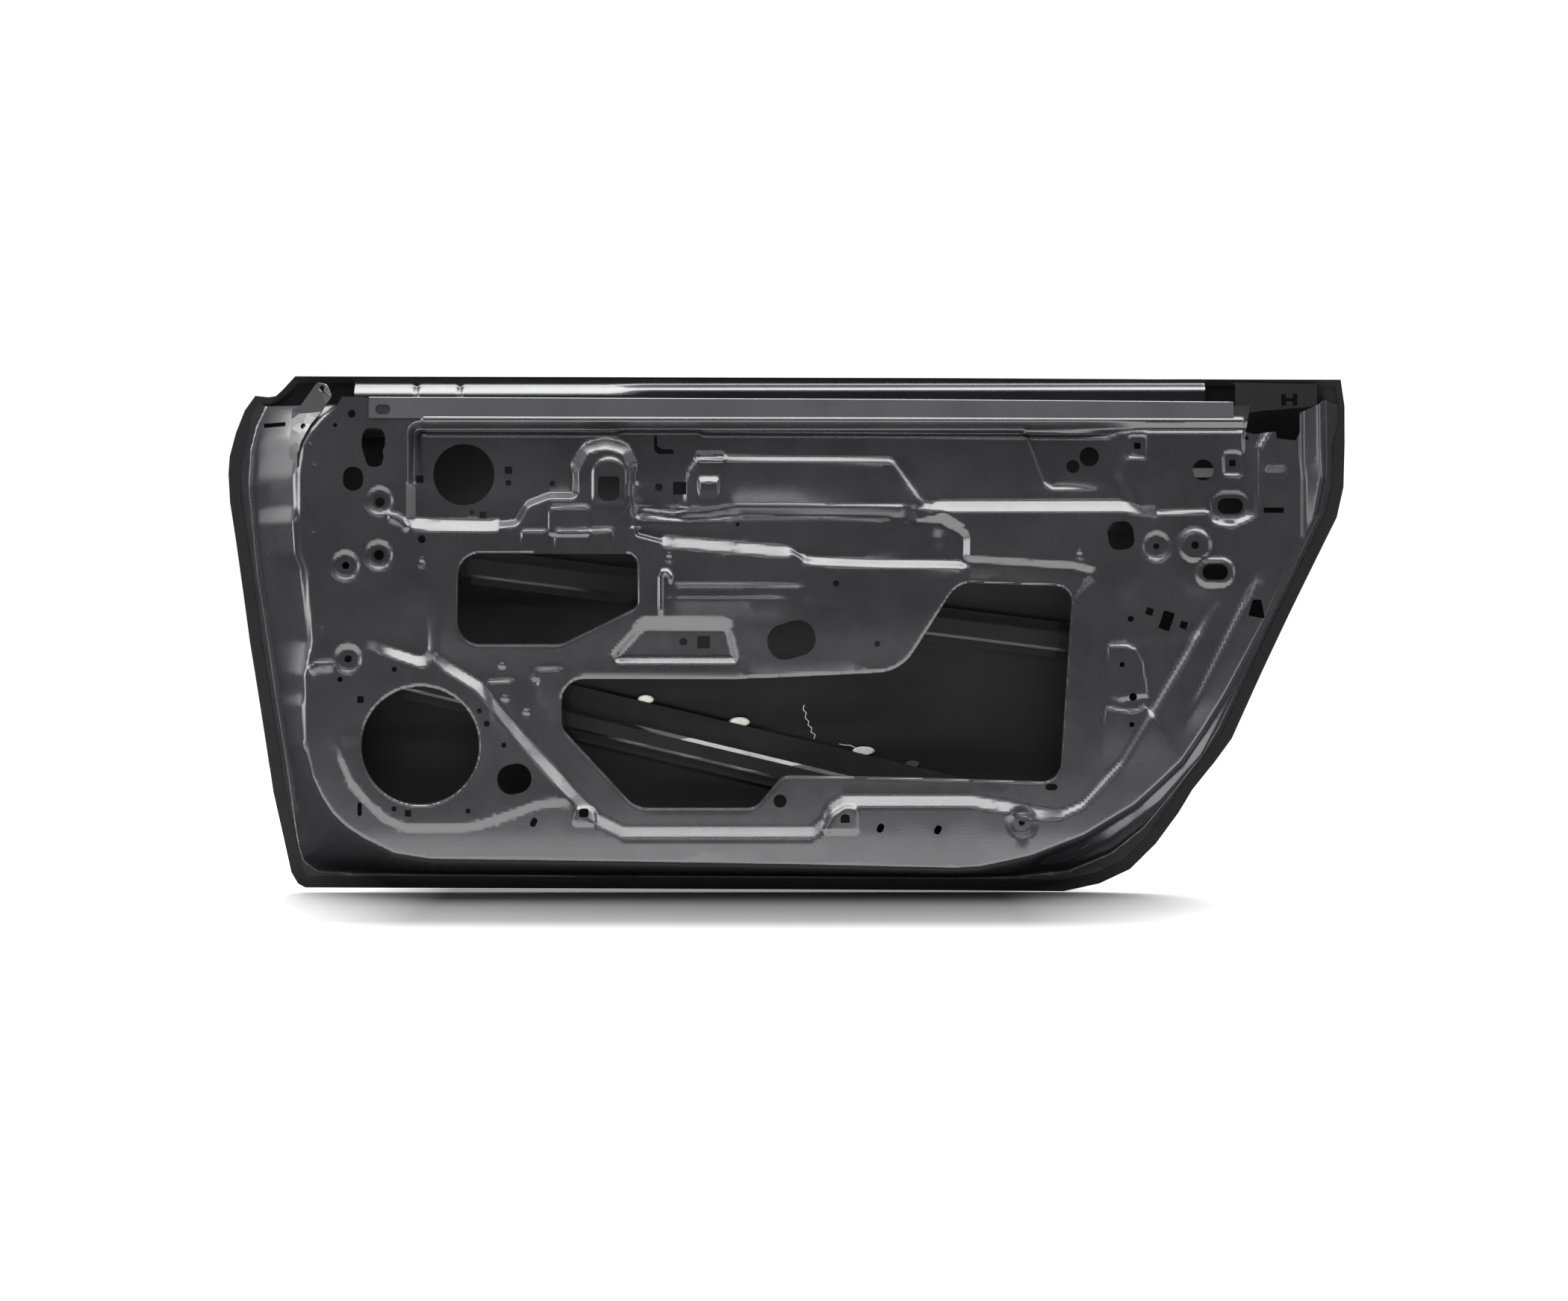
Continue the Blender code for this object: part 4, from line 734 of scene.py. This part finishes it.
# Steps of the face near the hinges, band round the speaker, and steps and long ribs of the latch end.
panel.ledge([(-545, -20.5), (-533, -13.5), (-511, -12)], 3.2, 5.0, 16.0, 6.0)
panel.ledge([(-345.5, -37.5), (-337, -36), (-305, -34)], 3.4, 5.6, 70.0, 10.0)
panel.ledge([(-293, -24), (-279.5, -21.5), (-247, -20.5)], 3.6, 6.0, 70.0, 14.0)
for px, pz in ((-322, -15.5), (-318.5, -53), (-294.5, -69)):
    panel.ledge([(px - 4.5, pz + 0.5), (px + 4.5, pz - 0.5)], 2.6, 3.0, 5.0, 2.0)
panel.ledge([
    (-235, -172), (-279.5, -175.5), (-312.5, -187.5), (-349, -200), (-374.5, -202.5),
    (-430, -202.5), (-451.5, -193.5), (-471, -178), (-494, -150), (-506, -122.5), (-512, -93),
], 3.4, 7.0, 60.0, 28.0)
panel.ledge([(448, -99.5), (518.5, 43.5), (546.5, 99.5)], 5.0, 6.0, 40.0, 60.0)
panel.ledge([(368, 6), (390, 6), (402, 1), (409, -13), (415.5, -53.5)], 2.8, 4.4, 60.0, 5.0)
panel.ledge([(366, -64.5), (395, -70), (405.5, -68), (414, -61.5)], 2.8, 4.4, 80.0, 5.0)
panel.ledge([(546.5, 205), (575.5, 205)], 2.6, 6.0, 14.0, 6.0)
panel.form(rounded([
    (383, 60.5, 12), (417.5, 93, 17), (485.5, 60.5, 13.5), (473.5, 21.5, 8.5), (434.5, 9.5, 8.5),
    (383, 11, 8.5),
]), -1.4, 14.0)

# Screw seats and round or square pads.
for px, pz, r, by in [
    (-461.5, 171, 18, -3.5), (-462.5, 109, 18.5, -3.5), (-500.5, 97, 18.5, -3.5),
    (-497.5, -9.5, 18, -3.5), (271.5, -196.5, 18.5, -3.5), (425, 119, 18.5, -3.5),
]:
    panel.dish(px, pz, r, by, 6.5)
panel.form(slot(509.5, 165, 44.0, 31.0), -2.4, 5.0)
panel.form(circle(468.5, 120, 17.5), 3.6, 6.0)
panel.form(slot(491.5, 89.5, 43.0, 30.0), 3.2, 5.0)
for px, pz in ((403.5, 233.5), (512, 214)):
    panel.form(rounded([
        (px - 11, pz + 13, 6), (px + 11, pz + 13, 6), (px + 9, pz - 14, 2), (px - 10, pz - 13, 2),
    ]), -3.0, 4.5)
for px, pz in ((-413, 99), (-131, 104.5), (337, 108), (-283.5, -36.5)):
    panel.dome(px, pz, 6.0, -2.4)
    panel.dome(px, pz + 5.0, 2.6, 1.4)
for px, pz in [
    (-541, 235), (-535.5, 210.5), (-523.5, 190), (-536.5, 133.5), (-533, 70.5), (-527, 24.5),
    (-526.5, -53.5), (-426.5, 257),
]:
    panel.dome(px, pz, 2.6, 0.9)
panel.form(rounded([
    (-240, -198.5, 3.5), (-237.5, -179.5, 7), (-216.5, -179.5, 7), (-214, -198.5, 3.5),
]), 2.0, 3.0)
panel.form(rounded([
    (45, -207, 3.5), (51, -190, 10), (70, -178, 8.5), (83.5, -179.5, 7), (83.5, -207, 3.5),
]), 3.4, 4.5)

# The face falls away a little towards its lower edge.
panel.rise -= (1.6 * eased((-205.0 - panel.z) / 45.0) * (to_face < 0)).astype(np.float32)

# The three large openings, their edges rolled away from the cabin.
OPENING_FRONT = rounded([
    (-371.5, 110.5, 25.5), (-168, 110, 12), (-167, 50, 10), (-254, 7.5, 34), (-373, 7.5, 25.5),
])
OPENING_MAIN = rounded([
    (-254.5, -32.5, 37.5), (-55.5, -33, 51), (133.5, -24.5, 51), (198.5, 77.5, 30.5),
    (329.5, 72.5, 18.5), (315, -150, 22), (153.5, -145, 51), (-1, -142, 18.5),
    (-32.5, -179.5, 22), (-169.5, -179.5, 34), (-254, -88.5, 20.5),
])
SPEAKER = circle(-415, -108.5, 66.9, 110)
for edge in (OPENING_FRONT, OPENING_MAIN, SPEAKER):
    panel.lip(edge, 3.2, 2.6)
panel.soften(0.9)

# Holes pierced in the face, as photographed: round, slotted, square and shaped ones.
holes = [OPENING_FRONT, OPENING_MAIN, SPEAKER]
for px, pz, r in [
    (-493, 270, 4.5), (-512, 257, 2.5), (-461.5, 171, 7.5), (-462.5, 109, 8), (-500.5, 97, 4.5),
    (-497.5, -9.5, 4.5), (-366, 201, 35), (-315, 191.5, 3.5), (-265, 191, 3.5),
    (-357, 157.5, 2.5), (-413, 127, 4.5), (-143, 186.5, 4.5), (-53, 144, 2.5), (59.5, 76.5, 3.5),
    (-115, 10, 4.5), (106.5, 7.5, 3.5), (349, 221.5, 11), (330.5, 210.5, 7.5), (478.5, 206, 12),
    (528, 242.5, 2.5), (425, 119, 3.5), (468.5, 120, 4.5), (396, 36, 3.5), (386, -16, 3),
    (398.5, -53, 4.5), (397, -84.5, 3), (-4.5, -172, 7.5), (271.5, -196.5, 4.5),
    (-444.5, -21.5, 3), (-506.5, -33, 3), (-347.5, -69, 3), (-339, -83.5, 3.5),
    (-319.5, -108, 3), (-444.5, -180.5, 3), (-360, -183, 3),
]:
    holes.append(circle(px, pz, r))
for px, pz, w, h, turn in [
    (-416.5, 196, 8.5, 8.5, 0), (-315, 206, 8.5, 8.5, 0), (-344, 155, 7.5, 7.5, 0),
    (-119, 185.5, 15.5, 14.5, 0), (-92, 9.5, 14.5, 14.5, 0), (403.5, 233.5, 7.5, 7.5, 0),
    (512, 214, 7.5, 7.5, 0), (-428.5, -185.5, 7.5, 7.5, 0), (558.5, 160, 23, 6, 0),
    (417.5, 44.5, 8.5, 8.5, -18), (456.5, 29, 8.5, 8.5, -18), (437, 34, 13, 21.5, -18),
    (-483, -56, 7.5, 7.5, 0),
]:
    holes.append(slot(px, pz, w, h, turn, 0.8))
for px, pz, w, h, turn in [
    (8.5, 12, 55.5, 41, 16), (-307.5, -146.5, 39, 34, 12), (509.5, 165, 29, 18, 0),
    (491.5, 89.5, 29, 18, 0), (305.5, -156, 13.5, 7.5, 0), (-491.5, 196, 23, 27.5, 0),
    (-484, -181, 5, 16, 0), (-285.5, -196, 7, 11, -25), (110, -202.5, 7.5, 11, -25),
    (175.5, -204.5, 7.5, 11, -25),
]:
    holes.append(slot(px, pz, w, h, turn))
holes.append(rounded([
    (-481, 245.5, 7.5), (-477, 254, 7.5), (-460, 254, 7.5), (-455, 245.5, 7.5), (-455, 233.5, 5),
    (-458, 228, 2.5), (-456.5, 221.5, 6), (-459, 209.5, 7), (-475, 209.5, 7), (-478.5, 221.5, 6),
    (-480.5, 228, 2.5), (-482, 233.5, 5),
]))
holes.append(rounded([(367, 146.5, 11), (397, 148, 11), (401, 116.5, 11), (372, 113.5, 11)]))
holes.append(rounded([(534, 58, 1), (544, 58, 1), (548.5, 36, 1), (529, 40, 1)]))
holes.append(rounded([
    (-212, 198.5, 3.5), (-187.5, 198.5, 3.5), (-187.5, 170.5, 10), (-212, 170.5, 10),
]))
holes.append(rounded([(-233.5, -180.5, 2.5), (-223, -180.5, 2.5), (-223, -190, 1), (-233.5, -190, 1)]))
holes.append(rounded([(64.5, -186.5, 4.5), (75, -186.5, 4.5), (75, -196.5, 1), (64.5, -196.5, 1)]))
holes.append(rounded([
    (-148.5, 245.5, 1), (-148.5, 229, 5), (-144, 224.5, 2.5), (-127.5, 224.5, 1.5),
    (-125, 227.5, 1), (-128.5, 230, 1), (-139.5, 230, 3.5), (-145, 234, 2.5), (-145, 245.5, 1),
]))
holes.append(slot(-590, 261, 30.0, 5.0, 0.0, 1.0))


def inset(loop, by):
    """Closed clockwise plan loop moved inwards."""
    moved = []
    for i, here in enumerate(loop):
        before, after = loop[i - 1], loop[(i + 1) % len(loop)]
        dx, dz = after[0] - before[0], after[1] - before[1]
        size = math.hypot(dx, dz)
        moved.append((here[0] + dz / size * by, here[1] - dx / size * by))
    return moved


# The sheet is trimmed round the hem flange, drawn in by the hem's own thickness, and along the belt.
HEM_INSET = 1.6
flange = inset(evened(rounded([(*q, 8.0) for q in OUTLINE], 6.0), True, 6.0), HEM_INSET)
first = min(range(len(flange)), key=lambda i: math.dist(flange[i], (650, 284)))
last = min(range(len(flange)), key=lambda i: math.dist(flange[i], (-614, 295)))
rim = (flange + flange)[first:last + 1 + (len(flange) if last < first else 0)]
trim = rim + [CREASE[0], FACE_EDGE[0]] + BELT_EDGE[::-1] + [FACE_EDGE[-1], STEP_OUTER[0], CREASE[-1]]
inner_sheet = sheet_mesh("inner_panel_sheet", panel, trim, holes, PANEL_T, 0.5, 0.21)


def electrocoat(name, colour, dusty, rough, peel_mm):
    """Cathodic dip primer: near-black and satin, with the fine orange peel of a baked film and some dust."""
    paint = bpy.data.materials.new(name)
    paint.use_nodes = True
    tree = paint.node_tree
    shader = tree.nodes["Principled BSDF"]
    shader.inputs["IOR"].default_value = 1.5
    place = add_node(tree, "ShaderNodeTexCoord")
    # Cloudy changes of shade, a hand's breadth across, where the dip ran off thicker or thinner.
    cloud = add_node(tree, "ShaderNodeTexNoise", {"Scale": 1000 / 90, "Detail": 3.0},
                     {"Vector": place.outputs["Object"]})
    shade = add_node(tree, "ShaderNodeValToRGB", {}, {"Fac": cloud.outputs["Fac"]})
    shade.color_ramp.elements[0].position = 0.35
    shade.color_ramp.elements[0].color = linear(colour)
    shade.color_ramp.elements[1].position = 0.7
    shade.color_ramp.elements[1].color = linear(dusty)
    tree.links.new(shade.outputs["Color"], shader.inputs["Base Color"])
    # Gloss that comes and goes with the film, over a few centimetres.
    film = add_node(tree, "ShaderNodeTexNoise", {"Scale": 1000 / 28, "Detail": 2.0},
                    {"Vector": place.outputs["Object"]})
    gloss = add_node(tree, "ShaderNodeMapRange", {"To Min": rough - 0.04, "To Max": rough + 0.05},
                     {"Value": film.outputs["Fac"]})
    tree.links.new(gloss.outputs["Result"], shader.inputs["Roughness"])
    # Orange peel: a swell of a few micrometres that breaks up the edges of the reflections. It is drawn
    # deeper than the real one, so that it shows at this size.
    peel = add_node(tree, "ShaderNodeTexNoise", {"Scale": 1000 / peel_mm, "Detail": 2.0},
                    {"Vector": place.outputs["Object"]})
    swell = add_node(tree, "ShaderNodeBump", {"Strength": 0.5, "Distance": 0.00016},
                     {"Height": peel.outputs["Fac"]})
    tree.links.new(swell.outputs["Normal"], shader.inputs["Normal"])
    return paint


# Thin primer over drawn steel: black with soft grey lights along every bend.
panel_paint = electrocoat("electrocoated_pressed_steel", "#131315", "#18181a", 0.27, 1.8)
inner_sheet.data.materials.append(panel_paint)
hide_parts("inner_panel")
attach(inner_sheet, "root")


# Hinge, latch and check strap reinforcements: plates of thicker steel, spot-welded inside the panel's ends.
# Six weld nuts sit behind its dished screw seats. All are dipped with the panel and wear the same primer.
def dress(name, paint, bend_mm=0.4, steps=2):
    """CAD node in its paint, with its folds and cut edges eased to a bend radius."""
    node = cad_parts[name]
    node.data.materials.clear()
    node.data.materials.append(paint)
    ease = node.modifiers.new("bend_radius", "BEVEL")
    ease.width = bend_mm / 1000
    ease.segments = steps
    ease.limit_method = "ANGLE"
    ease.angle_limit = math.radians(28.0)
    ease.harden_normals = True


for name in ("upper_hinge", "lower_hinge", "check_strap", "latch"):
    dress(name + "_reinforcement", panel_paint)
for index in range(1, 7):
    dress("weld_nut_%d" % index, panel_paint)


# Inner belt reinforcement: long folded strip of steel, spot-welded to the panel's edge under the window.
# Its flat face takes the light from above; its primer is painted greyer than the panel's as a painted
# highlight, and is duller.
lit_strip_primer = electrocoat("electrocoated_folded_strip", "#242427", "#2a2a2d", 0.34, 1.8)
dress("inner_belt_reinforcement", lit_strip_primer)


# Side beams: two roll-formed hat sections of high-strength steel that cross the door behind its openings.
# Folded brackets weld their ends to the panel. Their primer is painted blacker than the panel's, as painted
# shade behind the openings, and is glossier, with thin lights.
BEAM_BEND_MM = 5.0
painted_shade_primer = electrocoat("electrocoated_roll_formed_steel", "#0b0b0c", "#0e0e0f", 0.24, 2.2)
painted_shade_primer.node_tree.nodes["Principled BSDF"].inputs["Coat Weight"].default_value = 1.0
for place in ("upper", "lower"):
    dress(place + "_side_beam", painted_shade_primer, BEAM_BEND_MM, 3)
    dress(place + "_beam_hinge_bracket", painted_shade_primer)
    dress(place + "_beam_latch_bracket", painted_shade_primer)


# Corner plates: a folded mirror bracket at the front and a plate with an H-shaped slot at the rear.
# Both are pressed steel, spot-welded where the belt strips end, and close the shell's top corners.
dress("mirror_bracket", panel_paint)
# The rear plate wears the beams' primer, painted blacker as painted shade.
dress("rear_corner_bracket", painted_shade_primer)


# Outer belt reinforcement: steel strip of hat section, spot-welded under the top edge of the outer skin.
# Its upper shoulder stands steeply out of the weld flange, and two grooves cross it near the front.
BELT_T = 1.6
belt_front, belt_rear = -498.5, 488.5
# The section: how far it stands out at each distance below its top edge, in its rear and front length.
BELOW_TOP = (0, 7.5, 13.5, 48, 58, 70)
BELOW_TOP_FRONT = (0, 7.5, 19, 48, 58, 70)
STAND = (0, 0, 14, 14, 0, 0)
hat = Relief((belt_front - 6, 240.0), (belt_rear + 6, 322.0))
drop = 316.5 - hat.z
steep = np.interp(drop, BELOW_TOP, STAND)
wide = np.interp(drop, BELOW_TOP_FRONT, STAND)
front_length = eased((-150.0 - hat.x) / 60.0)
hat.rise = flange_rise(hat.x, hat.z) + 1.3 + steep * (1 - front_length) + wide * front_length
for groove in (-427, -376.5):
    hat.rise -= 5.0 * np.clip(1 - np.abs(hat.x - groove) / 4.0, 0, 1) * (drop > 8) * (drop < 24)
hat.soften(1.7)
belt_plan = rounded([
    (belt_front, 248.5, 3), (belt_rear, 248.5, 3), (belt_rear, 315.5, 3), (belt_front, 315.5, 3),
])
outer_belt = sheet_mesh("outer_belt_strip", hat, belt_plan, [], BELT_T, 0.06, 9.0)
outer_belt.data.materials.append(panel_paint)
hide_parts("outer_belt_reinforcement")
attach(outer_belt, "root")


# Outer skin: one drawn steel sheet, its edge hemmed round the inner panel's flange after the mastic is on.
# Its primer is flat, and painted nearly black, darker than the panel's, as painted shade for the inside of
# the shell behind the openings.
shaded_skin_primer = electrocoat("electrocoated_skin_sheet", "#070708", "#0a0a0b", 0.42, 2.2)
shaded_skin_primer.node_tree.nodes["Principled BSDF"].inputs["Specular IOR Level"].default_value = 0.22
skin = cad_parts["outer_skin"]
skin.data.materials.clear()
skin.data.materials.append(shaded_skin_primer)


# Sealant: soft off-white mastic, put in drops between the side beams and the outer skin to stop it drumming.
# It cures in the paint oven, and the drop farthest back is painted dark grey, near the primer's black.
def sealant(name, colour, hollow_shade):
    """Cured rubber mastic: matt, with a lumpy skin."""
    paste = bpy.data.materials.new(name)
    paste.use_nodes = True
    tree = paste.node_tree
    shader = tree.nodes["Principled BSDF"]
    shader.inputs["Roughness"].default_value = 0.62
    place = add_node(tree, "ShaderNodeTexCoord")
    # Lumps about 6 mm across, with painted shade in their hollows.
    lumps = add_node(tree, "ShaderNodeTexNoise", {"Scale": 1000 / 6, "Detail": 3.0},
                     {"Vector": place.outputs["Object"]})
    shade = add_node(tree, "ShaderNodeValToRGB", {}, {"Fac": lumps.outputs["Fac"]})
    shade.color_ramp.elements[0].color = linear(hollow_shade)
    shade.color_ramp.elements[1].color = linear(colour)
    tree.links.new(shade.outputs["Color"], shader.inputs["Base Color"])
    swell = add_node(tree, "ShaderNodeBump", {"Strength": 0.6, "Distance": 0.0004},
                     {"Height": lumps.outputs["Fac"]})
    tree.links.new(swell.outputs["Normal"], shader.inputs["Normal"])
    return paste


mastic = sealant("off_white_mastic", "#c4c2ba", "#8f8d85")
dark_grey_mastic = sealant("dark_grey_mastic_drop", "#2a2a29", "#222221")
for index in range(1, 5):
    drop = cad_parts["mastic_drop_%d" % index]
    drop.data.materials.clear()
    drop.data.materials.append(dark_grey_mastic if index == 4 else mastic)


# Mastic threads: fine strings drawn out between the nozzle and the skin, left lying where they fell.
# They cured there with the drops, and only their own stickiness holds them.
def thread(name, path, thickness):
    """String of mastic lying on the skin along a line that the camera sees, in door mm at the hem."""
    curve = bpy.data.curves.new(name, "CURVE")
    curve.dimensions = "3D"
    curve.bevel_depth = thickness / 2000
    curve.bevel_resolution = 1
    curve.use_fill_caps = True
    line = curve.splines.new("POLY")
    line.points.add(len(path) - 1)
    for point, (x, z) in zip(line.points, path):
        aim = Vector((x, CAMERA_AWAY, z)).normalized()
        place = skin.ray_cast(camera.location, aim)[1] - aim * thickness / 1600
        point.co = (*place, 1.0)
    string = bpy.data.objects.new(name, curve)
    bpy.context.scene.collection.objects.link(string)
    bpy.ops.object.select_all(action="DESELECT")
    string.select_set(True)
    bpy.context.view_layer.objects.active = string
    bpy.ops.object.convert(target="MESH")
    string.data.materials.append(mastic)
    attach(string, "root")


thread("mastic_thread_1", [
    (23.5, -63.5), (22.5, -69), (26, -73), (24.5, -78.5), (29, -83), (28, -87), (32.5, -90.5),
    (31.5, -95), (36.5, -98.5), (35, -103),
], 1.1)
thread("mastic_thread_2", [(64.5, -109), (70.5, -110.5), (76.5, -110.5), (83.5, -113.5)], 1.0)
